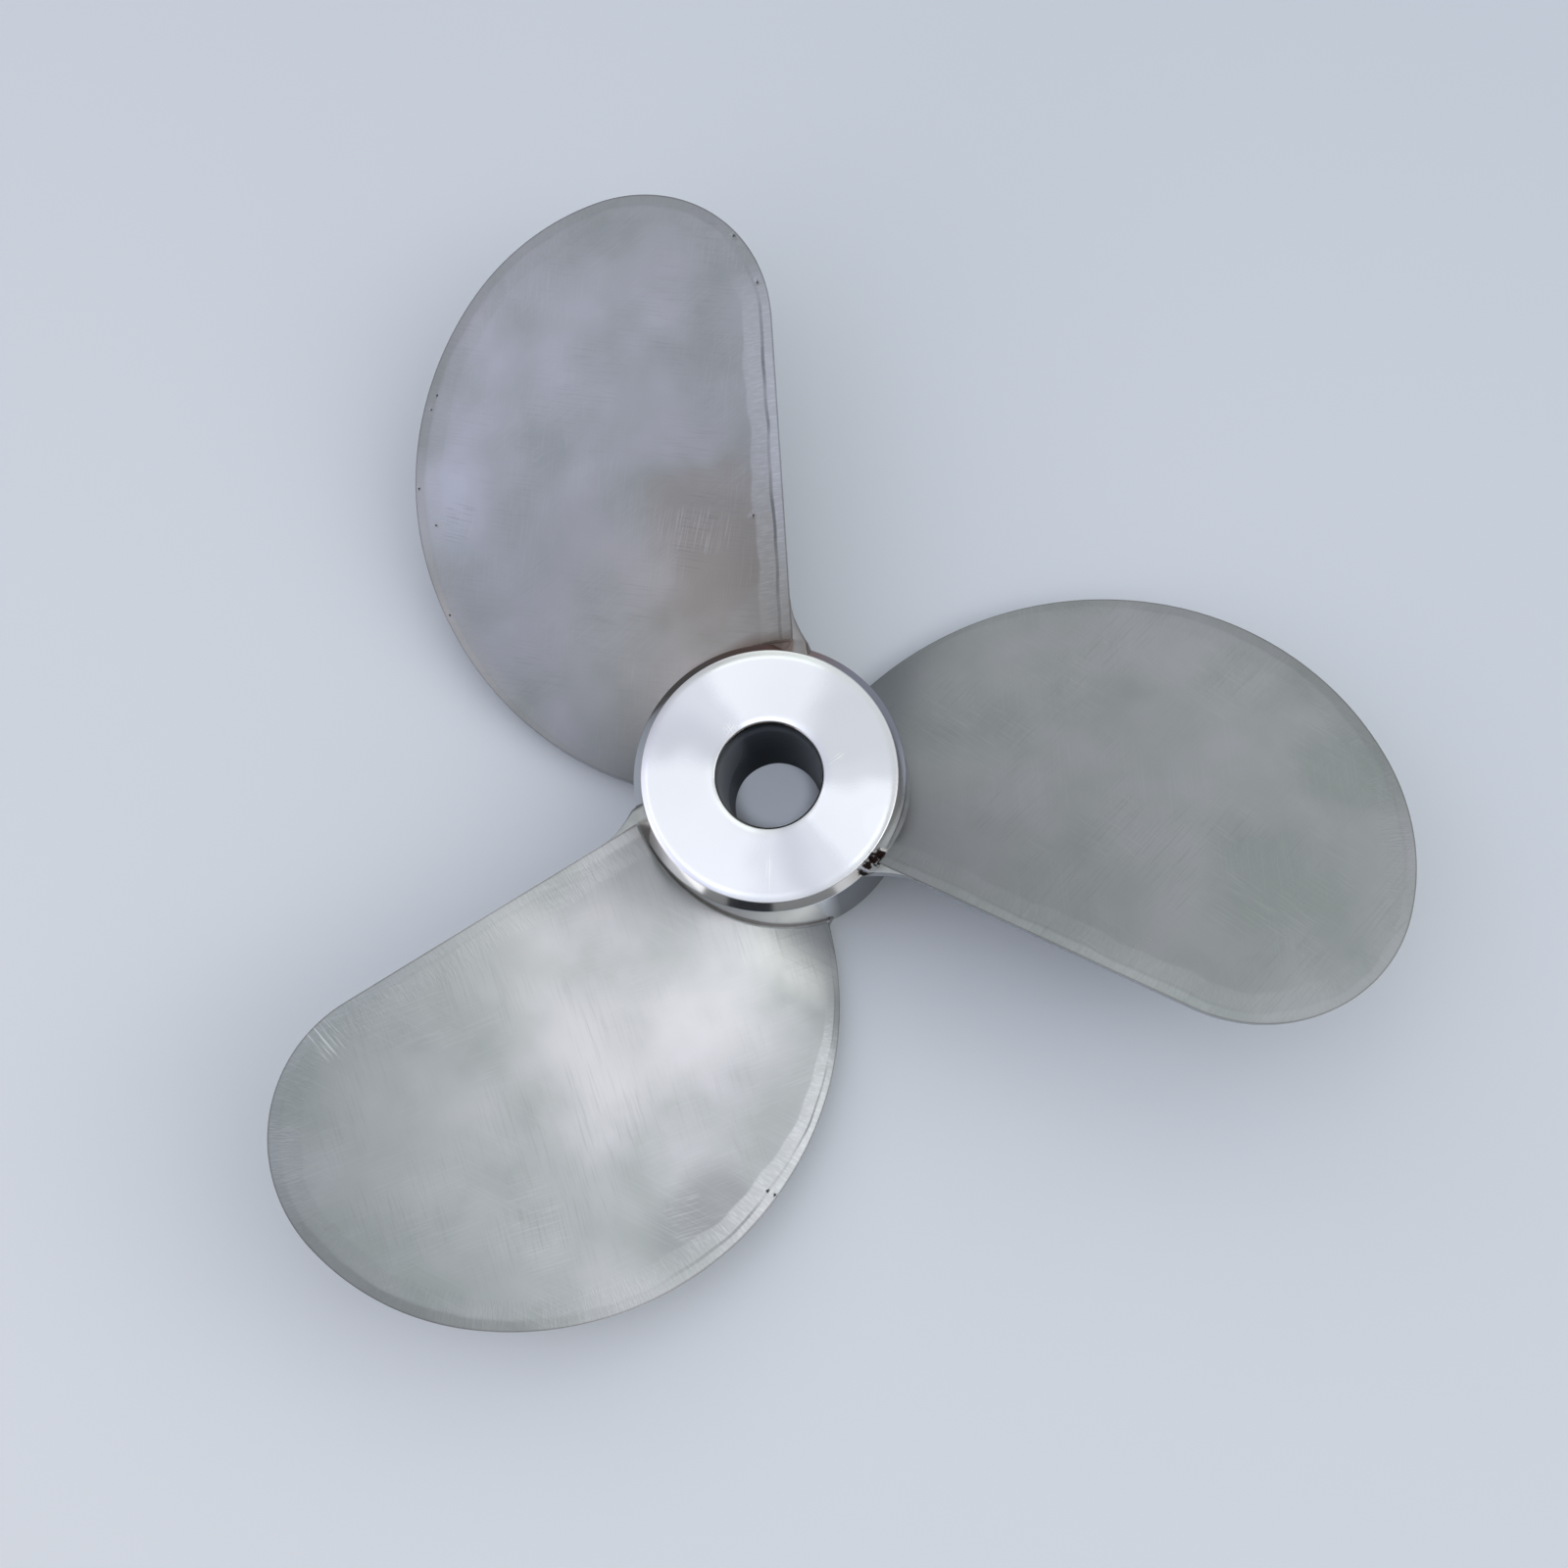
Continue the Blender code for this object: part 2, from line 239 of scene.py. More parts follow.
# Patches hatched crosswise with coarse paper: place, blade, length, width and strength
HATCHES = (
    (0.095, -0.040, 0, 0.050, 0.040, 0.50),
    (0.167, 0.028, 0, 0.040, 0.022, 0.40),
    (0.186, -0.020, 1, 0.060, 0.050, 0.28),
    (0.163, 0.027, 1, 0.045, 0.030, 0.28),
)
HATCH_WAYS = ((35.0, "#8a8b8d"), (-52.0, "#b9bbbf"))

# Floor, the way in which painted shade darkens it, and a dark card in front that the hub's
# chamfer reflects
FLOOR_REACH = 12.0
FLOOR_SHADE_WAY = (0.84, 0.54, 0.0)
CARD_BEARING = math.radians(-120.3)
CARD_AWAY = 1.5
CARD_HALF_WIDTH = 0.31
CARD_HEIGHT = 0.75

# Camera
CAMERA_PLACE = (0.0007, -0.1685, 0.8423)
CAMERA_TARGET = (0.0045, -0.0004, 0.040)
CAMERA_ROLL = math.radians(-16.08)
SENSOR_WIDTH = 36.0
LENS = 48.8

# Soft lights, each a square this wide and this far off: bearing and height in degrees,
# brightness and tint
LIGHT_SIZE = 1.0
LIGHT_AWAY = 2.2
SOFT_LIGHTS = (
    ("window", -30.0, 46.0, 0.62, "#fff4fb"),
    ("window_top", -46.0, 57.0, 1.00, "#fcfffa"),
    ("window_side", -15.0, 34.0, 1.22, "#fbfff9"),
    ("window_low", -38.0, 33.0, 0.28, "#f4faff"),
    ("window_foot", -62.0, 14.0, 0.40, "#ffffff"),
    ("window_above", -5.0, 62.0, 0.40, "#f8faff"),
    ("right_wall", 20.0, 50.0, 0.55, "#ffffff"),
    ("right_foot", 25.0, 25.0, 0.35, "#ffffff"),
    ("ceiling", 92.0, 79.0, 0.59, "#f2f6ff"),
    ("front_ceiling", -90.0, 82.0, 0.55, "#f2fbff"),
    ("back_ceiling", 62.0, 60.0, 0.40, "#f2fff0"),
    ("back_middle", 77.0, 45.0, 0.26, "#ffffff"),
    ("back_wall", 90.0, 22.0, 0.26, "#fafff6"),
    ("back_left", 120.0, 32.0, 0.60, "#eef0ff"),
    ("left_back_ceiling", 150.0, 60.0, 0.53, "#f4f2ff"),
    ("left_ceiling", 172.0, 66.0, 0.48, "#ccd3ff"),
    ("left_wall", -178.0, 36.0, 0.56, "#fff2ee"),
    ("left_front", -155.0, 50.0, 0.33, "#dce2ff"),
    ("left_foot", -158.0, 14.0, 0.95, "#ffffff"),
)

# Small lamp that shines down the bore, with a beam of this radius at this distance
BORE_LAMP_TARGET = (0.0, -0.0005, 0.031)
BEAM_RADIUS = 0.0160
BEAM_AWAY = 0.84


def colour(code):
    """Linear colour of an sRGB hex code."""
    parts = [int(code[i:i + 2], 16) / 255 for i in (1, 3, 5)]
    linear = [p / 12.92 if p <= 0.04045 else ((p + 0.055) / 1.055) ** 2.4 for p in parts]
    return (*linear, 1.0)


def add(tree, kind, inputs=None, output=None, **settings):
    """Adds a node with its settings and links, and gives back the output to go on with.

    A shader or maths node goes by its short name."""
    node = tree.nodes.new(kind if "Node" in kind else "ShaderNode" + kind)
    for name, value in settings.items():
        setattr(node, name, value)
    for key, value in (inputs or {}).items():
        if isinstance(value, bpy.types.NodeSocket):
            tree.links.new(value, node.inputs[key])
        else:
            node.inputs[key].default_value = value
    if output:
        return node.outputs[output]
    return next((socket for socket in node.outputs if socket.enabled), None)


# Shape of the finished pieces

def turned(points, blade):
    """Points of the blade model, turned round the shaft to one blade's place."""
    angle = FIRST_BLADE + 2 * math.pi * blade / BLADE_COUNT
    points = np.asarray(points, dtype=float)
    cos, sin = math.cos(angle), math.sin(angle)
    x, y = points[:, 0] * cos - points[:, 1] * sin, points[:, 0] * sin + points[:, 1] * cos
    return np.stack([x, y, points[:, 2]], axis=1)


def blade_face(x, y):
    """Height of the screw surface, whose pitch grows outward from the hub."""
    radius = np.hypot(x, y)
    pitch = ROOT_PITCH * (radius / HUB_RADIUS) ** PITCH_GROWTH
    middle = HUB_LENGTH - MID_ROOT_DROP
    return middle - pitch * np.arctan2(y, x) / (2 * math.pi) + RAKE * (radius - HUB_RADIUS)


def blade_back(x, y):
    step = 0.0005
    slope_x = (blade_face(x + step, y) - blade_face(x - step, y)) / (2 * step)
    slope_y = (blade_face(x, y + step) - blade_face(x, y - step)) / (2 * step)
    return blade_face(x, y) - PLATE * np.sqrt(1 + slope_x ** 2 + slope_y ** 2)


def walk_edge(step):
    """Points and headings along the blade's edge: one straight run, then four arcs."""
    x, y = STRAIGHT_POINT
    heading = STRAIGHT_HEADING
    count = math.ceil((STRAIGHT_LENGTH + STRAIGHT_LEAD) / step)
    runs = np.linspace(-STRAIGHT_LEAD, STRAIGHT_LENGTH, count + 1)
    points = [(x + r * math.cos(heading), y + r * math.sin(heading)) for r in runs]
    headings = [heading] * len(points)
    for radius, sweep in EDGE_ARCS:
        x, y = points[-1]
        centre = (x - radius * math.sin(heading), y + radius * math.cos(heading))
        count = math.ceil(radius * sweep / step)
        for turn in np.linspace(heading, heading + sweep, count + 1)[1:]:
            points.append((centre[0] + radius * math.sin(turn), centre[1] - radius * math.cos(turn)))
            headings.append(turn)
        heading += sweep
    return np.array(points), np.array(headings)


def outside(points, radius):
    """The stretch of an edge line outside a circle round the shaft, cut exactly at it."""
    away = np.hypot(points[:, 0], points[:, 1])
    first = last = int(np.argmax(away))
    while away[first - 1] > radius:
        first -= 1
    while away[last + 1] > radius:
        last += 1

    def crossing(a, b):
        part = (radius - away[a]) / (away[b] - away[a])
        spot = points[a] + part * (points[b] - points[a])
        return spot * radius / math.hypot(*spot)

    return np.vstack([crossing(first - 1, first), points[first:last + 1], crossing(last + 1, last)])


def length_of(line):
    return float(np.hypot(*np.diff(line, axis=0).T).sum())


def from_edge(line, points):
    """Distance of points from the blade's edge, and how far along the edge they lie."""
    start, along = line[:-1], np.diff(line, axis=0)
    length = np.hypot(along[:, 0], along[:, 1])
    run = np.concatenate([[0], np.cumsum(length)])
    distances, places = [], []
    for spot in points:
        part = np.clip(((spot - start) * along).sum(axis=1) / length ** 2, 0, 1)
        gap = np.hypot(*(start + part[:, None] * along - spot).T)
        nearest = int(np.argmin(gap))
        distances.append(gap[nearest])
        places.append(run[nearest] + part[nearest] * length[nearest])
    return np.array(distances), np.array(places)


def waver(place, blade, total):
    """How much wider or narrower the grinder left the bands at a place along the edge."""
    turn = 2 * math.pi * np.asarray(place) / GRINDER_WAVE
    uneven = 1.0 + 0.05 * np.sin(turn + 2.1 * blade) + 0.03 * np.sin(2.7 * turn + 1.3 * blade)
    left = total - np.asarray(place)
    part = np.clip((NARROWED_FROM - left) / (NARROWED_FROM - NARROWED_AT), 0.0, 1.0)
    return uneven * (1.0 - NARROWING * part)


def run_out(place, total):
    """The bands run out before the root of the rounded edge, from 1 down to 0."""
    return np.clip((total - BAND_END - np.asarray(place)) / BAND_FADE, 0.0, 1.0)


def ground_off(distance, place, blade, total):
    """Depth ground away, with the two creases softened by the grinder."""
    distance = distance / waver(place, blade, total)

    def soft(value):
        return 0.5 * (value + np.sqrt(value ** 2 + 0.05 ** 2))

    wide = soft((FULL_BAND - distance) / WIDE_BAND)
    narrow = soft((NARROW_BAND - distance) / NARROW_BAND)
    depth = WIDE_BAND_DROP * np.minimum(wide, 1.0) + NARROW_BAND_DROP * np.minimum(narrow, 1.0)
    return depth * run_out(place, total)


def crispness(place, blade):
    """How sharply the crease between the two bands shows at a place along the edge."""
    straight = np.clip((SHARP_UNTIL - place) / SHARP_UNTIL_FADE, 0.0, 1.0)
    rounded = np.clip((place - SHARP_FROM) / SHARP_FROM_FADE, 0.0, 1.0)
    return (straight, rounded, 0.15 * straight)[blade]


def nicked(points, blade):
    """How deep each point lies in a nick, from 0 to 1."""
    depth = np.zeros(len(points))
    for owner, centre, width in NICKS:
        if owner == blade:
            away = np.hypot(points[:, 0] - centre[0], points[:, 1] - centre[1]) / (0.5 * width)
            depth = np.maximum(depth, (1.0 - np.minimum(away, 1.0) ** 2) ** 2)
    return depth


def inside(line, points):
    x, y = points[:, 0], points[:, 1]
    hits = np.zeros(len(points), dtype=bool)
    for (ax, ay), (bx, by) in zip(line, np.roll(line, -1, axis=0)):
        if ay != by:
            crosses = ((ay > y) != (by > y)) & (x < ax + (y - ay) * (bx - ax) / (by - ay))
            hits ^= crosses
    return hits


def root_arc(line, rings):
    """Points along the blade's root, one of them at each end of every line inside its edge."""
    start, end = (math.atan2(spot[1], spot[0]) for spot in (line[0], line[-1]))
    kept = [math.atan2(ring[i][1], ring[i][0]) for ring in rings for i in (0, -1)]
    spread = np.linspace(start, end, int((end - start) * ROOT_RADIUS / ROOT_STEP))[1:-1]
    clear = 0.2 * ROOT_STEP
    spread = [t for t in spread if min(abs(t - k) for k in kept) * ROOT_RADIUS > clear]
    turns = np.array(sorted(kept + spread, reverse=True))
    return ROOT_RADIUS * np.stack([np.cos(turns), np.sin(turns)], axis=1)


def blade_plan(blade):
    """Flat layout of one blade: its outline, the creases of its bands, a field and its nicks."""
    path, headings = walk_edge(EDGE_STEP)
    inward = np.stack([-np.sin(headings), np.cos(headings)], axis=1)
    line = outside(path, ROOT_RADIUS)
    _, places = from_edge(line, path)
    total = length_of(line)
    width = waver(places, blade, total)[:, None]
    rings = [outside(path + depth * width * inward, ROOT_RADIUS) for depth in MESH_LINES]
    root = root_arc(line, rings)
    points = [tuple(p) for p in line] + [tuple(p) for p in root]
    outline = len(points)
    edges = [(i, (i + 1) % outline) for i in range(outline)]
    for ring in rings:
        ends = [len(line) + int(np.argmin(np.hypot(*(root - ring[i]).T))) for i in (0, -1)]
        chain = [ends[0], *range(len(points), len(points) + len(ring) - 2), ends[1]]
        points += [tuple(p) for p in ring[1:-1]]
        edges += list(zip(chain[:-1], chain[1:]))
    low, high = line.min(axis=0), line.max(axis=0)
    rows = np.arange(low[1], high[1], FIELD_STEP * math.sqrt(3) / 2)
    columns = np.arange(low[0], high[0], FIELD_STEP)
    field = np.array([(x + 0.5 * FIELD_STEP * (i % 2), y) for i, y in enumerate(rows) for x in columns])
    field = field[inside(line, field) & (np.hypot(*field.T) > ROOT_RADIUS + FIELD_FROM_ROOT)]
    distance, place = from_edge(line, field)
    field = field[distance > FULL_BAND * waver(place, blade, total) + FIELD_FROM_BANDS]
    for owner, centre, size in NICKS:
        if owner != blade:
            continue
        field = field[np.hypot(*(field - centre).T) > size]
        for radius, count in ((0.0, 1), (0.22 * size, 6), (0.38 * size, 8), (0.52 * size, 10)):
            for turn in np.linspace(0, 2 * math.pi, count, endpoint=False):
                points.append((centre[0] + radius * math.cos(turn), centre[1] + radius * math.sin(turn)))
    points += [tuple(p) for p in field]
    plan = delaunay_2d_cdt([Vector(p) for p in points], edges, [list(range(outline))], 1, 1e-8)
    spots = np.array([tuple(p) for p in plan[0]])
    return line, spots, [tuple(face) for face in plan[2]]


def link_piece(name, mesh):
    piece = bpy.data.objects.new(name, mesh)
    bpy.context.scene.collection.objects.link(piece)
    return piece


def close_shape(mesh, sharp):
    """Points the faces outward and shades the mesh smooth between its sharp edges."""
    work = bmesh.new()
    work.from_mesh(mesh)
    bmesh.ops.recalc_face_normals(work, faces=work.faces)
    if work.calc_volume(signed=True) < 0:
        bmesh.ops.reverse_faces(work, faces=work.faces)
    work.to_mesh(mesh)
    work.free()
    mesh.shade_smooth()
    mesh.set_sharp_from_angle(angle=math.radians(sharp))


def finished(name, points, faces, sharp, facts):
    """A closed mesh that carries facts about each of its points."""
    mesh = bpy.data.meshes.new(name)
    mesh.from_pydata([tuple(p) for p in points], [], faces)
    for key, values in facts.items():
        values = np.asarray(values, dtype=np.float32)
        kind, field = ("FLOAT", "value") if values.ndim == 1 else ("FLOAT_VECTOR", "vector")
        layer = mesh.attributes.new(key, kind, "POINT")
        layer.data.foreach_set(field, values.ravel())
    close_shape(mesh, sharp)
    return link_piece(name, mesh)


def run_tree(piece, tree, values, sharp):
    """Runs a node tree on a piece with its named inputs, and keeps the result as plain mesh."""
    modifier = piece.modifiers.new(tree.name, "NODES")
    modifier.node_group = tree
    for item in tree.interface.items_tree:
        if item.in_out == "INPUT" and item.name in values:
            modifier[item.identifier] = values[item.name]
    depsgraph = bpy.context.evaluated_depsgraph_get()
    mesh = bpy.data.meshes.new_from_object(piece.evaluated_get(depsgraph),
                                           preserve_all_data_layers=True, depsgraph=depsgraph)
    piece.modifiers.clear()
    mesh.name = piece.name
    piece.data = mesh
    close_shape(mesh, sharp)


def make_blade(blade, material):
    line, spots, triangles = blade_plan(blade)
    distance, place = from_edge(line, spots)
    nick = nicked(spots, blade)
    total = length_of(line)
    top = blade_face(*spots.T) - ground_off(distance, place, blade, total) - NICK_DEPTH * nick
    back = blade_back(*spots.T)
    count = len(spots)
    ways = {(a, b) for face in triangles for a, b in zip(face, face[1:] + face[:1])}
    rim = [(a, b) for a, b in ways if (b, a) not in ways]
    faces = list(triangles)
    faces += [tuple(count + i for i in reversed(face)) for face in triangles]
    faces += [(b, a, count + a, count + b) for a, b in rim]
    shift = np.full(count, PATTERN_STEP * blade)
    into_bands = distance / waver(place, blade, total)
    top_rim = np.column_stack([place, into_bands, shift])
    back_rim = np.column_stack([place, into_bands + 1.0, shift])
    facts = {
        "plate_spot": np.tile(np.column_stack([spots, shift]), (2, 1)),
        "rim_spot": np.vstack([top_rim, back_rim]),
        "from_hub": np.tile(np.hypot(*spots.T) - ROOT_RADIUS, 2),
        "nick": np.concatenate([nick, np.zeros(count)]),
        "crisp": np.tile(crispness(place, blade) * run_out(place, total), 2),
        "banded": np.tile(run_out(place, total), 2),
        "browned": np.full(2 * count, BROWNED[blade]),
    }
    points = np.vstack([np.column_stack([spots, top]), np.column_stack([spots, back])])
    piece = finished("blade_finished_%d" % (blade + 1), turned(points, blade), faces,
                     BLADE_SHARP, facts)
    piece.data.materials.append(material)
    return piece


def hub_profile():
    """Radius and height of the turned hub, round its closed outline."""
    back_bore = BORE_RADIUS - HUB_LENGTH * BORE_TAPER / 2
    face = HUB_RADIUS - FACE_CHAMFER
    wall = [(back_bore + (BORE_RADIUS - back_bore) * part,
             BORE_RIM + (HUB_LENGTH - 2 * BORE_RIM - CORNER) * part)
            for part in np.linspace(0.0, 1.0, 9)]
    flat = [(radius, HUB_LENGTH) for radius in
            np.linspace(BORE_RADIUS + BORE_RIM + CORNER, face - CORNER, 9)]
    return flat + [
        (face, HUB_LENGTH - 0.35 * CORNER),
        (face + 0.5 * CORNER, HUB_LENGTH - 0.8 * CORNER),
        (HUB_RADIUS - 0.8 * CORNER, HUB_LENGTH - FACE_CHAMFER + 0.6 * CORNER),
        (HUB_RADIUS - 0.2 * CORNER, HUB_LENGTH - FACE_CHAMFER - 0.1 * CORNER),
        (HUB_RADIUS, HUB_LENGTH - FACE_CHAMFER - CORNER),
        (HUB_RADIUS, BACK_CHAMFER),
        (HUB_RADIUS - BACK_CHAMFER, 0.0),
        (back_bore + BORE_RIM, 0.0),
    ] + wall + [
        (BORE_RADIUS + 0.3 * CORNER, HUB_LENGTH - BORE_RIM),
        (BORE_RADIUS + BORE_RIM, HUB_LENGTH - 0.3 * CORNER),
    ]


def new_tree(name, inputs):
    """A node tree with named inputs that gives back one piece, and its inputs to link from."""
    tree = bpy.data.node_groups.new(name, "GeometryNodeTree")
    for label, kind in inputs.items():
        tree.interface.new_socket(label, in_out="INPUT", socket_type="NodeSocket" + kind)
    tree.interface.new_socket("Piece", in_out="OUTPUT", socket_type="NodeSocketGeometry")
    return tree, tree.nodes.new("NodeGroupInput").outputs


def end_tree(tree, shape, steel):
    """Ends a tree with real mesh, its steel and the group's output."""
    real = add(tree, "GeometryNodeRealizeInstances", {"Geometry": shape})
    made = add(tree, "GeometryNodeSetMaterial", {"Geometry": real, "Material": steel})
    add(tree, "NodeGroupOutput", {"Piece": made})
    return tree


def lathe():
    """Node tree that turns a closed profile round Z, as a lathe turns a bar.

    The profile lies in x and y: x outward from the centre radius and y down from height 0."""
    tree, given = new_tree("lathe", {"Profile": "Geometry", "Segments": "Int",
                                     "Centre radius": "Float", "Steel": "Material"})
    ring = add(tree, "GeometryNodeCurvePrimitiveCircle",
               {"Resolution": given["Segments"], "Radius": given["Centre radius"]})
    upright = add(tree, "GeometryNodeSetCurveNormal", {"Curve": ring}, mode="Z_UP")
    outline = add(tree, "GeometryNodeMeshToCurve", {"Mesh": given["Profile"]})
    body = add(tree, "GeometryNodeCurveToMesh", {"Curve": upright, "Profile Curve": outline})
    return end_tree(tree, body, given["Steel"])


def make_hub(material):
    profile = hub_profile()
    mesh = bpy.data.meshes.new("hub_finished")
    count = len(profile)
    mesh.from_pydata([(radius - HUB_RADIUS, -height, 0.0) for radius, height in profile],
                     [(i, (i + 1) % count) for i in range(count)], [])
    piece = link_piece("hub_finished", mesh)
    run_tree(piece, lathe(), {"Segments": HUB_SEGMENTS, "Centre radius": HUB_RADIUS,
                              "Steel": material}, HUB_SHARP)
    return piece


def hub_outer(z):
    return (HUB_RADIUS - np.maximum(z - (HUB_LENGTH - FACE_CHAMFER), 0.0)
            - np.maximum(BACK_CHAMFER - z, 0.0))


def ring_faces(count, width):
    faces = []
    for i in range(count):
        ahead = (i + 1) % count
        for j in range(width):
            beside = (j + 1) % width
            faces.append((i * width + j, i * width + beside, ahead * width + beside, ahead * width + j))
    return faces


def weld_stops(face_runs=90, back_runs=270, tail_runs=15, front_runs=32):
    """Where the weld's cross-sections stand: side, place along it and outward way in degrees.

    Round the straight edge the place runs from the back over to the face of the plate while the
    way turns from -150 to -210 degrees."""
    slope = math.degrees(math.atan(ROOT_PITCH / (2 * math.pi * ROOT_RADIUS)))
    upward = 90.0 - slope
    downward = upward - 180.0
    stops = [("face", i / face_runs, upward) for i in range(face_runs + 1)]
    stops += [("tail", p, upward + (downward - upward) * p) for p in np.linspace(0.05, 0.95, tail_runs)]
    stops += [("back", 1 - i / back_runs, downward) for i in range(back_runs + 1)]
    for way in np.linspace(downward, downward - 180.0, front_runs)[1:-1]:
        down = 1.0 - min(max((-way - 150.0) / 60.0, 0.0), 1.0)
        stops.append(("front", down, way))
    return stops


def weld_legs(side, low, flare, uneven):
    """How far the weld reaches aside and upward along the hub, and out over its blade."""
    leg = (FACE_LEG + (BACK_LEG - FACE_LEG) * low) * uneven
    rise = (FACE_RISE + (BACK_LEG - FACE_RISE) * low) * uneven
    if side == "tail":
        leg = rise = min(leg + FACE_RISE, TAIL_LEG)
    return (leg + (FLARE_ON_HUB - leg) * flare, rise + (FLARE_DEPTH - rise) * flare,
            leg + (FLARE_ON_BLADE - leg) * flare ** 0.8)


def on_blade(line, path, side, place, radius):
    """Where the weld leaves the blade at a radius: its turn round the shaft and its height."""
    cut = outside(path, radius)
    start, end = (math.atan2(spot[1], spot[0]) for spot in (cut[0], cut[-1]))
    turn = end if side == "tail" else start
    if side in ("face", "back"):
        turn = start + (end - start) * place
    spot = np.array([[radius * math.cos(turn), radius * math.sin(turn)]])
    distance, along = from_edge(line, spot)
    top = float((blade_face(*spot.T) - ground_off(distance, along, 0, length_of(line)))[0])
    back = float(blade_back(*spot.T)[0])
    return turn, {"face": top, "back": back}.get(side, top + (back - top) * place)


def weld_shell(path):
    """Points and facts of a root weld: a hollow fillet that spreads at the straight edge."""
    line = outside(path, ROOT_RADIUS)
    stops = weld_stops()
    first_way = max(way for side, _, way in stops if side == "front")
    outer = WELD_SHARES[::-1]
    width = len(outer)
    bulge = [math.sin(math.pi * min(1.0, share + 0.12)) ** 0.6 for share in outer]
    rows, facts = [], {}
    run, last = 0.0, None
    for side, place, way in stops:
        aside, upward = math.cos(math.radians(way)), math.sin(math.radians(way))
        low = {"face": 0.0, "back": 1.0}.get(side, place)
        flare = 0.0
        if side == "front":
            flare = max(0.0, -aside) * min(1.0, (first_way - way) / FLARE_TURN)
        # A bead laid by hand swells and thins by a few percent
        uneven = 1.0 + 0.04 * math.sin(run / 0.0031) + 0.03 * math.sin(run / 0.0012 + 1.0)
        hub_aside, hub_upward, blade_leg = weld_legs(side, low, flare, uneven)
        inner, skin = [], []
        for share in WELD_SHARES:
            radius = ROOT_RADIUS + blade_leg * share
            turn, level = on_blade(line, path, side, place, radius)
            rise = (1 - share) ** 2
            spread = (TOE + (hub_aside - TOE) * rise, TOE + (hub_upward - TOE) * rise)
            for gap, row in (((-SUNK, -SUNK), inner), (spread, skin)):
                height = max(level + gap[1] * upward, ABOVE_FLOOR)
                height = min(height, max(HUB_LENGTH - BELOW_FACE, level + COVER))
                if share == 0.0:
                    height = min(height, HUB_LENGTH - BELOW_FACE)
                away = float(hub_outer(height)) - IN_HUB if share == 0.0 else radius
                around = turn + gap[0] * aside / radius
                row.append((away * math.cos(around), away * math.sin(around), height))
        middle = np.array(skin[width // 2])
        run += 0.0 if last is None else float(np.linalg.norm(middle - last))
        last = middle
        rows.append(inner + skin[::-1])
        raw = {"back": 1.0, "tail": place, "front": place * (1.0 - flare)}.get(side, 0.0)
        for key, values in (("weld_share", [1.0] * width + [*outer]),
                            ("weld_run", [run] * (2 * width)),
                            ("as_welded", [0.0] * width + [raw * part for part in bulge]),
                            ("from_hub", [blade_leg * share for share in WELD_SHARES + outer]),
                            ("flared", [flare] * (2 * width))):
            facts.setdefault(key, []).extend(values)
    return rows, facts


def weld_surface():
    """Node tree that gives a weld its ripples, its unevenness and, where asked, a pit."""
    tree, given = new_tree("weld_surface", {
        "Weld": "Geometry", "Ripple pitch": "Float", "Ripple height": "Float",
        "Pit depth": "Float", "Seed": "Float", "Steel": "Material"})
    share, run, raw, pit = (
        add(tree, "GeometryNodeInputNamedAttribute", {"Name": name}, data_type="FLOAT")
        for name in ("weld_share", "weld_run", "as_welded", "pit"))
    place = add(tree, "GeometryNodeInputPosition")
    uneven, rough = (
        add(tree, "TexNoise", {"Vector": place, "W": given["Seed"], "Scale": scale,
                               "Detail": detail}, noise_dimensions="4D")
        for scale, detail in ((260.0, 2.0), (900.0, 1.0)))
    # The ripples bow back at both toes, as the weld pool froze, and their pitch wanders
    aside = add(tree, "Math", {0: share, 1: 0.5}, operation="SUBTRACT")
    bow = add(tree, "Math", {0: aside, 1: aside}, operation="MULTIPLY")
    bowed = add(tree, "Math", {0: bow, 1: 0.006, 2: run}, operation="MULTIPLY_ADD")
    wander = add(tree, "Math", {0: uneven, 1: 0.0016, 2: bowed}, operation="MULTIPLY_ADD")
    count = add(tree, "Math", {0: wander, 1: given["Ripple pitch"]}, operation="DIVIDE")
    part = add(tree, "Math", {0: count}, operation="FRACT")
    rise = add(tree, "Math", {0: part, 1: 0.55}, operation="POWER")
    dip = add(tree, "Math", {0: rise, 1: 0.75}, operation="SUBTRACT")
    ripple = add(tree, "Math", {0: dip, 1: given["Ripple height"]}, operation="MULTIPLY")
    shown = add(tree, "Math", {0: ripple, 1: raw}, operation="MULTIPLY")
    hollow = add(tree, "Math", {0: pit, 1: given["Pit depth"]}, operation="MULTIPLY")
    torn = add(tree, "MapRange", {"Value": rough, "From Min": 0.3, "From Max": 0.6,
                                  "To Min": 0.3, "To Max": 1.0})
    deep = add(tree, "Math", {0: hollow, 1: torn}, operation="MULTIPLY")
    lift = add(tree, "Math", {0: shown, 1: deep}, operation="SUBTRACT")
    normal = add(tree, "GeometryNodeInputNormal")
    move = add(tree, "VectorMath", {0: normal, "Scale": lift}, operation="SCALE")
    moved = add(tree, "GeometryNodeSetPosition", {"Geometry": given["Weld"], "Offset": move})
    return end_tree(tree, moved, given["Steel"])


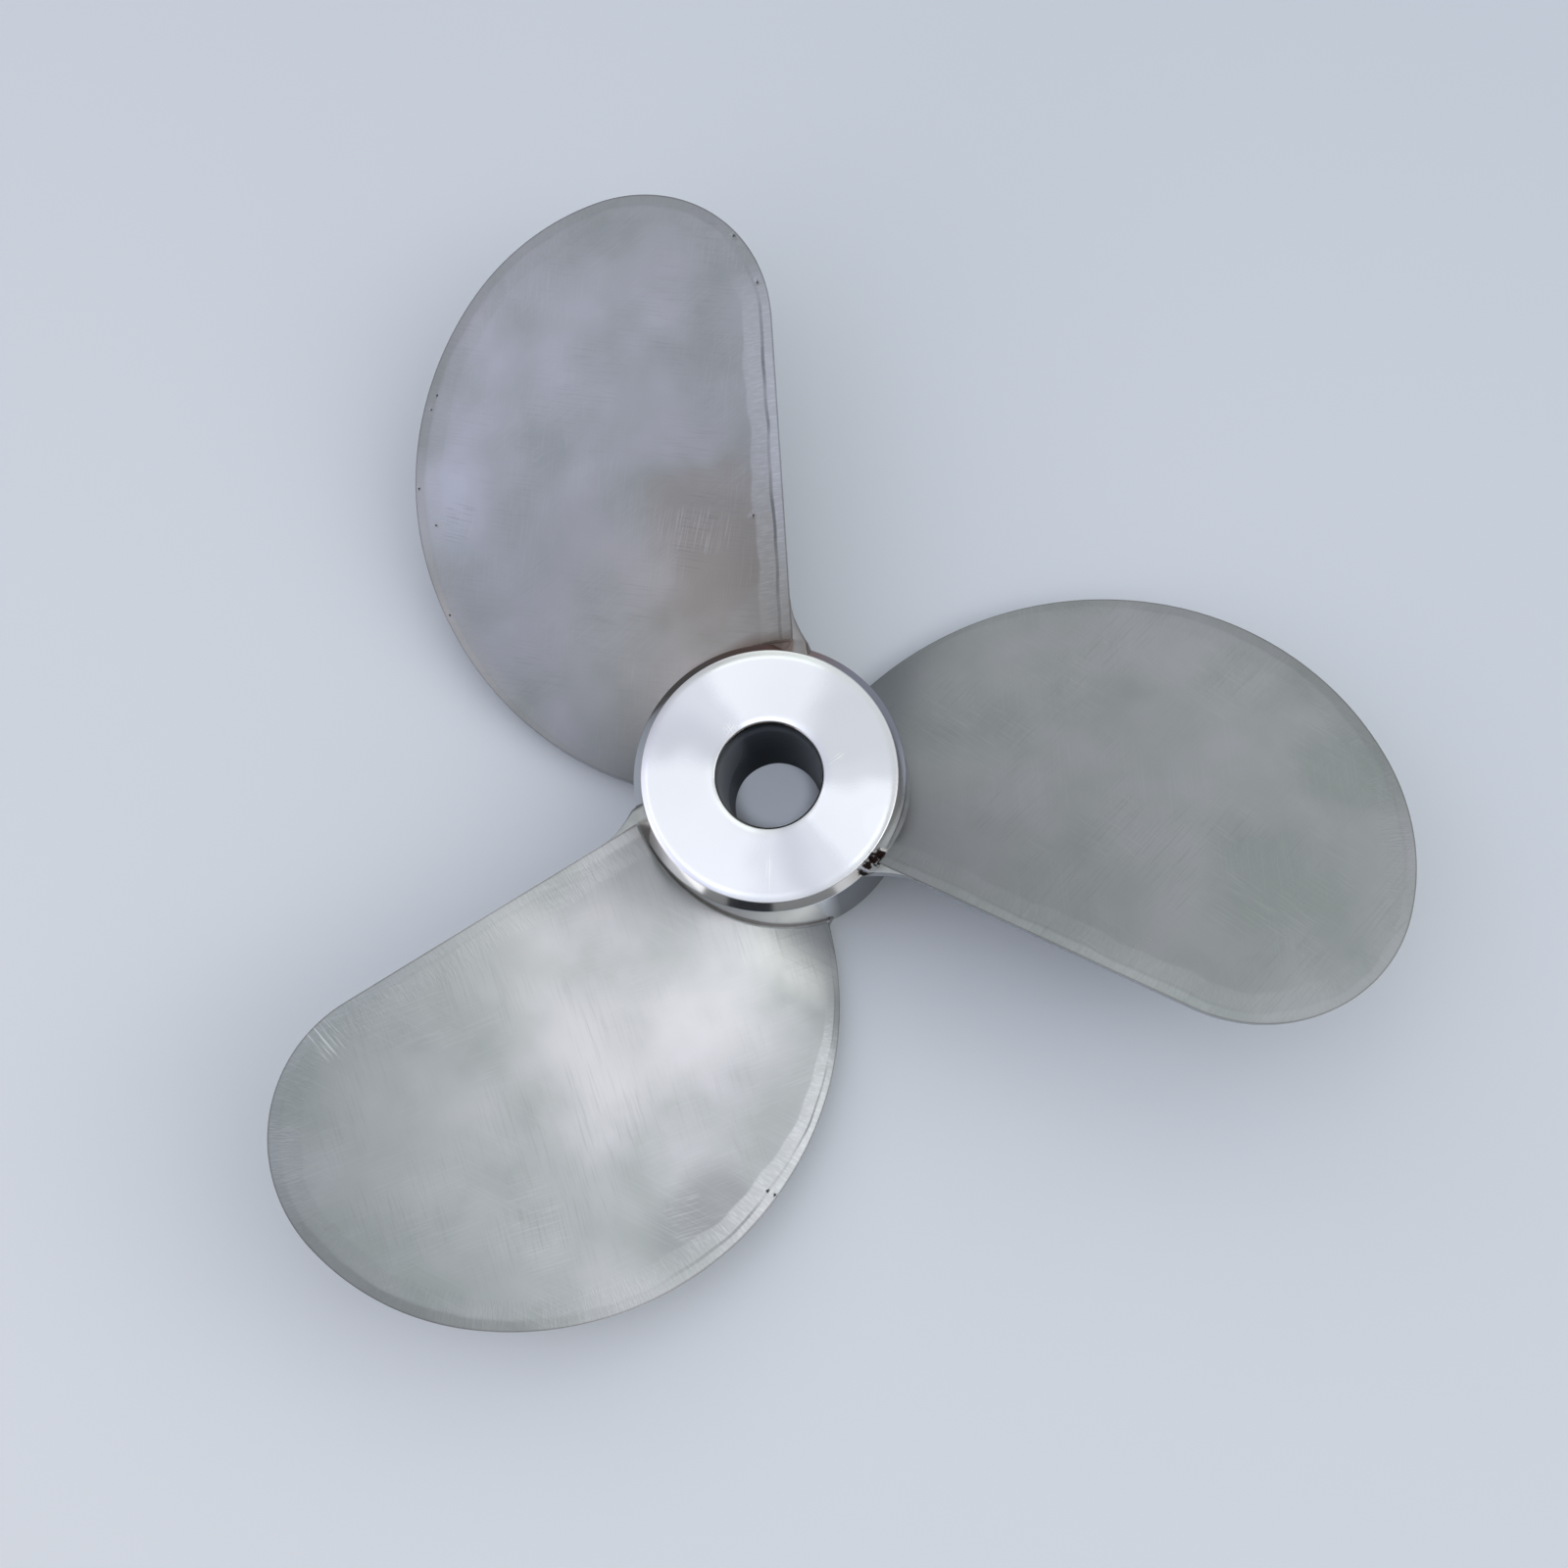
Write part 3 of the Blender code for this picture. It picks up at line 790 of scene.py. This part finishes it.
def make_weld(blade, shell, tree, material):
    rows, facts = shell
    points = turned([p for row in rows for p in row], blade)
    # The pit is full within half of each spot's radius and gone a fifth beyond it
    away = np.min([np.linalg.norm(points - spot, axis=1) / reach for spot, reach in PITS], axis=0)
    facts = {**facts, "pit": np.clip(1.8 - 1.5 * away, 0.0, 1.0),
             "browned": np.full(len(points), BROWNED[blade]),
             "toe_line": np.full(len(points), TOE_LINES[blade])}
    piece = finished("weld_finished_%d" % (blade + 1), points,
                     ring_faces(len(rows), len(rows[0])), WELD_SHARP, facts)
    run_tree(piece, tree, {"Ripple pitch": RIPPLE_PITCH, "Ripple height": RIPPLE_HEIGHT,
                           "Pit depth": PIT_DEPTH, "Seed": 3.0 + blade, "Steel": material},
             WELD_SHARP)
    return piece


# Finishes

def new_material(name):
    material = bpy.data.materials.new(name)
    material.use_nodes = True
    return material, material.node_tree, material.node_tree.nodes["Principled BSDF"].inputs


def join_metal(tree, shader, tone, roughness, bump):
    """Links a bare metal's tone, roughness and relief to its shader."""
    tree.links.new(tone, shader["Base Color"])
    tree.links.new(roughness, shader["Roughness"])
    tree.links.new(bump, shader["Normal"])
    shader["Metallic"].default_value = 1.0


def grain(tree, spot, size, turn, detail, low, high, centre=(0.0, 0.0, 0.0)):
    """Noise drawn out along one way, as a share from 0 to 1 between two of its levels."""
    laid = add(tree, "Mapping", {"Vector": spot, "Location": centre, "Scale": size,
                                 "Rotation": (0.0, 0.0, math.radians(turn))},
               vector_type="TEXTURE")
    noise = add(tree, "TexNoise", {"Vector": laid, "Scale": 1.0, "Detail": detail})
    return add(tree, "MapRange", {"Value": noise, "From Min": low, "From Max": high})


def scratch_group(tree, spot, centre, turn, length, width, spacing):
    """Fine parallel scratches in an oval patch, along the way that turn gives in degrees."""
    oval = add(tree, "Mapping", {"Vector": spot, "Location": centre,
                                 "Rotation": (0.0, 0.0, math.radians(turn)),
                                 "Scale": (length / 2, width / 2, 0.01)},
               vector_type="TEXTURE")
    away = add(tree, "VectorMath", {0: oval}, "Value", operation="LENGTH")
    patch = add(tree, "MapRange", {"Value": away, "From Min": 1.0, "From Max": 0.6})
    lines = grain(tree, spot, (length, spacing, 1.0), turn, 1.0, 0.52, 0.66, centre)
    return add(tree, "Math", {0: patch, 1: lines}, operation="MULTIPLY")


def pitted(tree, place):
    """How far each point lies in the rough hollow, with a torn edge, from 0 to 1."""
    nearest = None
    for spot, reach in PITS:
        away = add(tree, "VectorMath", {0: place, 1: spot}, "Value", operation="DISTANCE")
        share = add(tree, "Math", {0: away, 1: reach}, operation="DIVIDE")
        nearest = share if nearest is None else add(tree, "Math", {0: nearest, 1: share},
                                                    operation="MINIMUM")
    torn = add(tree, "TexNoise", {"Vector": place, "Scale": 1 / 0.0016, "Detail": 3.0})
    edge = add(tree, "Math", {0: torn, 1: 1.6, 2: nearest}, operation="MULTIPLY_ADD")
    return add(tree, "MapRange", {"Value": edge, "From Min": 1.85, "From Max": 1.55})


def face_polish_and_sheen(tree, place, turn):
    """Bright sweeps round the hub's face, partly smoother polish and partly painted sheen, bent
    by clouds so that none has a straight side, and a painted highlight near its edge.
    """
    clouded = add(tree, "TexNoise", {"Vector": place, "Scale": 1 / 0.026, "Detail": 1.0})
    bent = add(tree, "Math", {0: clouded, 1: 0.10, 2: turn}, operation="MULTIPLY_ADD")
    centred = add(tree, "Math", {0: bent, 1: 0.05}, operation="SUBTRACT")
    part = add(tree, "Math", {0: centred}, operation="FRACT")
    sweeps = add(tree, "ValToRGB", {"Fac": part})
    away = add(tree, "VectorMath", {0: place, 1: FACE_HIGHLIGHT_SPOT}, "Value", operation="DISTANCE")
    spot = add(tree, "MapRange", {"Value": away, "From Min": 0.019, "From Max": 0.005},
               interpolation_type="SMOOTHSTEP")
    return sweeps, add(tree, "Math", {0: sweeps, 1: spot}, operation="MAXIMUM")


def turned_stainless():
    """Stainless bar turned on a lathe, then finished with a hand polish. Its face carries sweeps of
    smoother polish with painted sheen, so it is part mirror-bright and part grey. The welds stained
    its chamfer, which also has painted reflections, as does its outer wall. Its bore has painted
    shade, but for a pale rough side that is painted lighter."""
    material, tree, shader = new_material("lathe_turned_stainless")
    place = add(tree, "TexCoord", output="Object")
    flat = add(tree, "VectorMath", {0: place, 1: (1.0, 1.0, 0.0)}, operation="MULTIPLY")
    height = add(tree, "SeparateXYZ", {"Vector": place}, "Z")
    x, y = (height.node.outputs[axis] for axis in "XY")
    radius = add(tree, "VectorMath", {0: flat}, "Value", operation="LENGTH")
    bearing = add(tree, "Math", {0: y, 1: x}, operation="ARCTAN2")
    turn = add(tree, "Math", {0: bearing, 1: 1 / (2 * math.pi), 2: 1.0}, operation="MULTIPLY_ADD")
    in_bore, on_face, on_wall = (
        add(tree, "MapRange", {"Value": value, "From Min": low, "From Max": high})
        for value, low, high in (
            (radius, BORE_RADIUS + 0.0005, BORE_RADIUS + 0.0001),
            (height, HUB_LENGTH - 0.0004, HUB_LENGTH - 0.0001),
            (height, HUB_LENGTH - FACE_CHAMFER, HUB_LENGTH - FACE_CHAMFER - 0.0006)))
    ring_spot = add(tree, "CombineXYZ", {"X": radius, "Z": height})
    rings, streaks = (
        add(tree, "TexNoise", {"Vector": ring_spot, "Scale": 1 / spacing, "Detail": detail})
        for spacing, detail in ((STROKE, 2.0), (0.0035, 3.0)))
    streak = add(tree, "MapRange", {"Value": streaks, "From Min": 0.35, "From Max": 0.65})
    # Painted shade in the bore, darkest at its back end
    depth = add(tree, "MapRange", {"Value": height, "From Max": HUB_LENGTH})
    deep = add(tree, "ValToRGB", {"Fac": depth})
    lit = add(tree, "Mix", {"Factor": 1.0, "A": deep, "B": colour("#b0b0b0")},
              data_type="RGBA", blend_type="MULTIPLY")
    # One side of the bore is rough toward its front, and painted lighter there as a painted highlight
    aside = add(tree, "MapRange", {"Value": x, "From Min": -0.004, "From Max": -0.017})
    front = add(tree, "MapRange", {"Value": depth, "From Min": 0.30, "From Max": 0.85, "To Max": 0.85})
    front_aside = add(tree, "Math", {0: aside, 1: front}, operation="MULTIPLY")
    pale = add(tree, "Math", {0: front_aside, 1: in_bore}, operation="MULTIPLY")

    # Sweeps of polish and painted sheen on the face, and a painted highlight near its edge
    sweeps, polish_and_sheen = face_polish_and_sheen(tree, place, turn)
    marks = None
    for spot_x, spot_y, way, length, width in FACE_SCRATCHES:
        group = scratch_group(tree, place, (spot_x, spot_y, HUB_LENGTH), way, length, width, 0.0006)
        marks = group if marks is None else add(tree, "Math", {0: marks, 1: group}, operation="MAXIMUM")
    # The chamfer, with its heat stain and painted reflections, and the outer wall under it, which
    # was turned once and carries painted reflections
    whole_turn = add(tree, "Math", {0: turn}, operation="FRACT")
    # Heat stain and painted reflections round the chamfer
    stain_and_reflection = add(tree, "ValToRGB", {"Fac": whole_turn})
    # Painted reflections round the outer wall
    wall = add(tree, "ValToRGB", {"Fac": whole_turn})
    for ramp, stops in ((sweeps, FACE_POLISH_AND_SHEEN), (stain_and_reflection, CHAMFER_STAIN_AND_REFLECTIONS), (wall, WALL_PAINTED_REFLECTIONS),
                        (deep, BORE_PAINTED_SHADE)):
        elements = ramp.node.color_ramp.elements
        for at, _ in stops[1:-1]:
            elements.new(at)
        for stop, (_, tone) in zip(elements, stops):
            stop.color = colour(tone) if isinstance(tone, str) else (tone, tone, tone, 1.0)
    sweeps.node.color_ramp.interpolation = "EASE"

    hollow = pitted(tree, place)
    bore, face = (
        add(tree, "Mix", {"Factor": share, "A": low, "B": high}, data_type="RGBA")
        for share, low, high in ((streak, lit, deep),
                                 (polish_and_sheen, colour("#d6d7de"), colour("#f7f7fb"))))
    bore = add(tree, "Mix", {"Factor": pale, "A": bore, "B": colour("#cfd0cf")}, data_type="RGBA")
    tone = stain_and_reflection
    for share, over in ((on_face, face), (on_wall, wall), (marks, colour("#fbfbfb")),
                        (in_bore, bore), (hollow, colour(HOLLOW_TONE))):
        tone = add(tree, "Mix", {"Factor": share, "A": tone, "B": over}, data_type="RGBA")
    dull = add(tree, "MapRange", {"Value": polish_and_sheen, "To Min": 0.36, "To Max": 0.17})
    edges = add(tree, "Mix", {"Factor": on_face, "A": 0.12, "B": dull})
    worn = add(tree, "Mix", {"Factor": on_wall, "A": edges, "B": 0.24})
    for share, rougher in ((marks, 0.15), (hollow, 0.4), (pale, 0.35)):
        worn = add(tree, "Math", {0: share, 1: rougher, 2: worn}, operation="MULTIPLY_ADD")
    # Painted shade: the bore, but for its pale side, also dulls what it reflects at a slant
    bore_shade_dulling = add(tree, "Math", {0: 1.0, 1: pale}, operation="SUBTRACT")
    bore_shade_dulling = add(tree, "Math", {0: bore_shade_dulling, 1: in_bore}, operation="MULTIPLY")
    slant = add(tree, "Mix", {"Factor": bore_shade_dulling, "A": colour("#ffffff"), "B": colour("#b3b4b5")},
                data_type="RGBA")
    # The rings stretch highlights across them on the face, and hardly on the narrow chamfer
    stretch = add(tree, "MapRange", {"Value": on_face, "To Min": 0.15, "To Max": 0.6})
    bump = add(tree, "Bump", {"Height": rings, "Strength": 0.25, "Distance": 0.00002})
    tangent = add(tree, "Tangent", direction_type="RADIAL", axis="Z")
    tree.links.new(slant, shader["Specular Tint"])
    tree.links.new(stretch, shader["Anisotropic"])
    tree.links.new(tangent, shader["Tangent"])
    join_metal(tree, shader, tone, worn, bump)
    return material


def sanding(tree, spot, tone):
    """Strokes of the sander in loose regions, and coarser hatching in patches."""
    height = None
    for turn, length, line_tone, strength in STROKES:
        line = grain(tree, spot, (length, STROKE, 1.0), turn, 2.0, 0.5, 0.72)
        moved = add(tree, "VectorMath", {0: spot, 1: (turn, 0.0, 0.0)}, operation="ADD")
        region = add(tree, "TexNoise", {"Vector": moved, "Scale": 1 / 0.035, "Detail": 2.0})
        where = add(tree, "MapRange", {"Value": region, "From Min": 0.42, "From Max": 0.62,
                                       "To Max": strength})
        stroke = add(tree, "Math", {0: line, 1: where}, operation="MULTIPLY")
        tone = add(tree, "Mix", {"Factor": stroke, "A": tone, "B": colour(line_tone)}, data_type="RGBA")
        height = stroke if height is None else add(tree, "Math", {0: height, 1: stroke},
                                                   operation="ADD")
    for x, y, owner, length, width, depth in HATCHES:
        for turn, line_tone in HATCH_WAYS:
            hatch = scratch_group(tree, spot, (x, y, PATTERN_STEP * owner), turn,
                                  0.4 * length, width, 0.0009)
            faint = add(tree, "Math", {0: hatch, 1: depth}, operation="MULTIPLY")
            tone = add(tree, "Mix", {"Factor": faint, "A": tone, "B": colour(line_tone)},
                       data_type="RGBA")
            height = add(tree, "Math", {0: height, 1: faint}, operation="ADD")
    return tone, height


def ground_bands(tree, rim, crisp, banded):
    """Marks that the flap disc left across the bands, and layers of tone: fresher metal in the
    bands, the marks, a dark line where they meet, sharp in places, and painted shade along the
    outermost edge."""
    distance = add(tree, "SeparateXYZ", {"Vector": rim}, "Y")
    in_band = add(tree, "MapRange", {"Value": distance, "From Min": FULL_BAND + 0.0008,
                                     "From Max": FULL_BAND - 0.0006},
                  interpolation_type="SMOOTHSTEP")
    in_band = add(tree, "Math", {0: in_band, 1: banded}, operation="MULTIPLY")
    fresh = add(tree, "Math", {0: in_band, 1: crisp}, operation="MULTIPLY")
    bare = add(tree, "MapRange", {"Value": fresh, "To Max": 0.6})
    cut = grain(tree, rim, (STROKE, 0.005, 1.0), 0.0, 3.0, 0.45, 0.7)
    cuts = add(tree, "Math", {0: cut, 1: in_band}, operation="MULTIPLY")
    along = add(tree, "Mapping", {"Vector": rim, "Scale": (0.030, 1.0, 1.0)}, vector_type="TEXTURE")
    broken = add(tree, "TexNoise", {"Vector": along, "Scale": 1.0, "Detail": 4.0})
    strong = add(tree, "MapRange", {"Value": broken, "From Min": 0.30, "From Max": 0.60})
    shifted = add(tree, "Math", {0: broken, 1: 0.0016, 2: distance}, operation="MULTIPLY_ADD")
    off_crease = add(tree, "Math", {0: shifted, 1: NARROW_BAND + 0.0008}, operation="SUBTRACT")
    beside = add(tree, "Math", {0: off_crease}, operation="ABSOLUTE")
    line = add(tree, "MapRange", {"Value": beside, "From Min": 0.0009, "From Max": 0.0003},
               interpolation_type="SMOOTHSTEP")
    crease = add(tree, "Math", {0: line, 1: strong}, operation="MULTIPLY")
    faded_cuts, faded_crease = (
        add(tree, "Math", {0: share, 1: add(tree, "MapRange", {"Value": crisp, "To Min": low,
                                                               "To Max": high})},
            operation="MULTIPLY")
        for share, low, high in ((cuts, 0.08, 0.45), (crease, 0.06, 0.75)))
    # Painted shade along the outermost edge
    painted_edge_shade = add(tree, "MapRange", {"Value": distance, "From Min": 0.0007,
                                       "From Max": 0.0001, "To Max": 0.55})
    return cuts, [(bare, "#b0b3b7"), (faded_cuts, "#c6cad0"), (faded_crease, "#626467"),
                  (painted_edge_shade, "#5b5654")]


def weld_heat(tree, cloud, from_hub, browned):
    """Layers of tone from the root weld's heat: faint far out, ragged and darker near it."""
    ragged = add(tree, "Math", {0: cloud, 1: 0.010, 2: -0.004}, operation="MULTIPLY_ADD")
    edge = add(tree, "Math", {0: from_hub, 1: ragged}, operation="SUBTRACT")
    layers = []
    for away, reach, most, code in ((from_hub, 0.034, 0.30, "#948d89"), (edge, 0.004, 0.6, "#75645a")):
        heat = add(tree, "MapRange", {"Value": away, "From Min": reach, "From Max": 0.0,
                                      "To Max": most})
        layers.append((add(tree, "Math", {0: heat, 1: browned}, operation="MULTIPLY"), code))
    return layers


def sanded_plate():
    """Stainless plate sanded by hand: a soft grey sheen that clouds from place to place,
    hatched here and there, with bands along its edges ground across by a flap disc."""
    material, tree, shader = new_material("hand_sanded_stainless_plate")
    spot, rim = (add(tree, "Attribute", output="Vector", attribute_name=name)
                 for name in ("plate_spot", "rim_spot"))
    from_hub, nick, crisp, banded, browned = (
        add(tree, "Attribute", output="Fac", attribute_name=name)
        for name in ("from_hub", "nick", "crisp", "banded", "browned"))

    # Clouds 34 mm across, with a finer mottle inside them
    cloud = add(tree, "TexNoise", {"Vector": spot, "Scale": 1 / 0.034, "Detail": 4.0,
                                   "Roughness": 0.45, "Distortion": 0.15})
    shade = add(tree, "MapRange", {"Value": cloud, "From Min": 0.34, "From Max": 0.66})
    tone = add(tree, "Mix", {"Factor": shade, "A": colour("#9ca1a3"), "B": colour("#aaacb2")},
               data_type="RGBA")
    # Patches of tone, and painted highlights and painted shade on the second blade
    for x, y, owner, bend, reach, inner, strength, code in TONE_AND_PAINTED_LIGHT_PATCHES:
        away = add(tree, "VectorMath", {0: spot, 1: (x, y, PATTERN_STEP * owner)}, "Value",
                   operation="DISTANCE")
        bent = add(tree, "Math", {0: cloud, 1: bend, 2: away}, operation="MULTIPLY_ADD")
        patch = add(tree, "MapRange", {"Value": bent, "From Min": reach, "From Max": inner,
                                       "To Max": strength}, interpolation_type="SMOOTHSTEP")
        tone = add(tree, "Mix", {"Factor": patch, "A": tone, "B": colour(code)}, data_type="RGBA")
    tone, height = sanding(tree, spot, tone)
    # A few deeper scratches left near the tip of the second blade
    scratches = scratch_group(tree, spot, (0.149, -0.1155, PATTERN_STEP), 62.0, 0.024, 0.014, 0.0011)
    cuts, bands = ground_bands(tree, rim, crisp, banded)
    for share, code in ((scratches, "#c9cdd0"), *bands,
                        *weld_heat(tree, cloud, from_hub, browned), (nick, "#2b2826")):
        tone = add(tree, "Mix", {"Factor": share, "A": tone, "B": colour(code)}, data_type="RGBA")
    roughness = add(tree, "MapRange", {"Value": cloud, "From Min": 0.3, "From Max": 0.7,
                                       "To Min": 0.34, "To Max": 0.28})
    relief = add(tree, "Math", {0: height, 1: cuts}, operation="ADD")
    deeper = add(tree, "Math", {0: scratches, 1: -1.5, 2: relief}, operation="MULTIPLY_ADD")
    bump = add(tree, "Bump", {"Height": deeper, "Strength": 0.5, "Distance": 0.00003})
    join_metal(tree, shader, tone, roughness, bump)
    return material


def weld_steel():
    """Stainless weld metal: ground into the plate on top, straw and brown with its ripples
    underneath, and a ragged dark line against the hub."""
    material, tree, shader = new_material("stainless_weld")
    place = add(tree, "TexCoord", output="Object")
    from_hub, raw, flared, browned, toe_line = (
        add(tree, "Attribute", output="Fac", attribute_name=name)
        for name in ("from_hub", "as_welded", "flared", "browned", "toe_line"))
    cloud, fleck = (add(tree, "TexNoise", {"Vector": place, "Scale": 1 / size, "Detail": detail})
                    for size, detail in ((0.006, 3.0), (0.0014, 2.0)))
    shade = add(tree, "MapRange", {"Value": cloud, "From Min": 0.35, "From Max": 0.65})
    bright, heated = (
        add(tree, "Mix", {"Factor": shade, "A": colour(low), "B": colour(high)},
            data_type="RGBA")
        for low, high in (("#a3a6a8", "#b0b2b6"), ("#7b6d5f", "#a49783")))
    warm = add(tree, "Math", {0: browned, 1: 0.6}, operation="MULTIPLY")
    dimmed = add(tree, "Math", {0: flared, 1: warm}, operation="MULTIPLY")
    # The line reaches out less than a millimetre, and further on the browned blade
    reach = add(tree, "MapRange", {"Value": browned, "To Min": 0.0005, "To Max": 0.0028})
    flecked = add(tree, "Math", {0: fleck, 1: reach}, operation="MULTIPLY")
    beyond = add(tree, "Math", {0: from_hub, 1: flecked}, operation="SUBTRACT")
    inner = add(tree, "MapRange", {"Value": beyond, "From Min": 0.0003, "From Max": -0.0002})
    # Where the weld spreads at the straight edge it is bare, and the line gives out
    spread = add(tree, "MapRange", {"Value": flared, "From Min": 0.05, "From Max": 0.45,
                                    "To Min": 1.0, "To Max": 0.15})
    line_there = add(tree, "Math", {0: spread, 1: toe_line}, operation="MULTIPLY")
    line = add(tree, "Math", {0: inner, 1: line_there}, operation="MULTIPLY")
    hollow = pitted(tree, place)
    tone = bright
    for share, over in ((warm, colour("#8f8984")), (dimmed, colour("#6f6a66")), (raw, heated),
                        (line, colour("#66554b")), (hollow, colour(HOLLOW_TONE))):
        tone = add(tree, "Mix", {"Factor": share, "A": tone, "B": over}, data_type="RGBA")
    roughness = add(tree, "MapRange", {"Value": raw, "To Min": 0.30, "To Max": 0.28})
    rougher = add(tree, "Math", {0: hollow, 1: 0.35, 2: roughness}, operation="MULTIPLY_ADD")
    bump = add(tree, "Bump", {"Height": fleck, "Strength": 0.2, "Distance": 0.0001})
    join_metal(tree, shader, tone, rougher, bump)
    return material


def matt_paint(name, code):
    """Matt paint with hardly any shine."""
    material, tree, shader = new_material(name)
    shader["Base Color"].default_value = colour(code)
    shader["Roughness"].default_value = 0.7
    shader["Specular IOR Level"].default_value = 0.2
    return material, tree, shader


def pale_floor():
    """Pale matt floor with painted shade that turns it a little darker toward the back."""
    material, tree, shader = matt_paint("pale_floor", "#f4f8ff")
    place = add(tree, "TexCoord", output="Object")
    # Painted shade toward the back of the floor
    back = add(tree, "VectorMath", {0: place, 1: FLOOR_SHADE_WAY}, "Value", operation="DOT_PRODUCT")
    part = add(tree, "MapRange", {"Value": back, "From Min": -0.40, "From Max": 0.45})
    tone = add(tree, "Mix", {"Factor": part, "A": colour("#f4f8ff"), "B": colour("#dbe2ee")},
               data_type="RGBA")
    tree.links.new(tone, shader["Base Color"])
    return material


# Room

def make_sheet(name, corners, material):
    mesh = bpy.data.meshes.new(name)
    mesh.from_pydata(corners, [], [(0, 1, 2, 3)])
    mesh.materials.append(material)
    link_piece(name, mesh)


def make_room():
    make_sheet("floor", [(x * FLOOR_REACH, y * FLOOR_REACH, 0)
                         for x, y in ((-1, -1), (1, -1), (1, 1), (-1, 1))], pale_floor())
    out = Vector((math.cos(CARD_BEARING), math.sin(CARD_BEARING), 0.0))
    middle = out * CARD_AWAY
    side = Vector((-out.y, out.x, 0.0)) * CARD_HALF_WIDTH
    rise = Vector((0.0, 0.0, CARD_HEIGHT))
    make_sheet("dark_card", [middle - side, middle + side, middle + side + rise,
                             middle - side + rise], matt_paint("dark_card", "#2f3134")[0])


def aim(thing, place, target, roll=0.0):
    way = Vector(target) - Vector(place)
    turn = way.to_track_quat("-Z", "Y").to_matrix().to_4x4()
    thing.matrix_world = Matrix.Translation(place) @ turn @ Matrix.Rotation(roll, 4, "Z")


def make_camera():
    data = bpy.data.cameras.new("camera")
    data.sensor_width = SENSOR_WIDTH
    data.lens = LENS
    data.clip_start, data.clip_end = 0.02, 20.0
    camera = link_piece("camera", data)
    aim(camera, CAMERA_PLACE, CAMERA_TARGET, CAMERA_ROLL)
    bpy.context.scene.camera = camera
    bpy.context.scene.view_settings.view_transform = "Standard"


def make_soft_lights():
    for name, bearing, height, brightness, tint in SOFT_LIGHTS:
        data = bpy.data.lights.new(name, "AREA")
        data.shape = "SQUARE"
        data.size = LIGHT_SIZE
        data.energy = brightness * math.pi * LIGHT_SIZE ** 2
        data.color = colour(tint)[:3]
        lamp = link_piece(name, data)
        a, e = math.radians(bearing), math.radians(height)
        out = Vector((math.cos(a) * math.cos(e), math.sin(a) * math.cos(e), math.sin(e)))
        aim(lamp, out * LIGHT_AWAY, (0, 0, 0))


def make_bore_lamp():
    """Shines from the camera's place through the bore onto the floor under it."""
    data = bpy.data.lights.new("bore_lamp", "SPOT")
    data.energy = 7.5
    data.spot_size = 2 * math.atan(BEAM_RADIUS / BEAM_AWAY)
    data.spot_blend = 0.25
    data.shadow_soft_size = 0.004
    data.color = colour("#eef4ff")[:3]
    aim(link_piece("bore_lamp", data), CAMERA_PLACE, BORE_LAMP_TARGET)


def make_world():
    """A plain room, darker in front and toward the horizon."""
    world = bpy.data.worlds.new("room")
    bpy.context.scene.world = world
    world.use_nodes = True
    tree = world.node_tree
    way = add(tree, "TexCoord", output="Generated")
    parts = add(tree, "SeparateXYZ", {"Vector": way}).node.outputs
    upper = add(tree, "Math", {0: parts["Y"], 1: 0.115, 2: 0.37}, operation="MULTIPLY_ADD")
    strength = add(tree, "MapRange", {"Value": parts["Z"], "From Min": 0.05, "From Max": 0.35,
                                      "To Min": 0.20, "To Max": upper})
    background = tree.nodes["Background"].inputs
    background["Color"].default_value = colour("#fcffff")
    tree.links.new(strength, background["Strength"])


def main():
    plate_steel = sanded_plate()
    bead_steel = weld_steel()
    pieces = [(make_hub(turned_stainless()), "hub", "turned_stainless")]
    path, _ = walk_edge(0.001)
    shell = weld_shell(path)
    tree = weld_surface()
    for blade in range(BLADE_COUNT):
        number = "_%d" % (blade + 1)
        pieces.append((make_blade(blade, plate_steel), "blade" + number, "ground_stainless_plate"))
        pieces.append((make_weld(blade, shell, tree, bead_steel), "weld" + number, "stainless_weld"))
    for piece, node, slot in pieces:
        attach(piece, "root")
        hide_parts(node)
    make_room()
    make_camera()
    make_world()
    make_soft_lights()
    make_bore_lamp()


main()
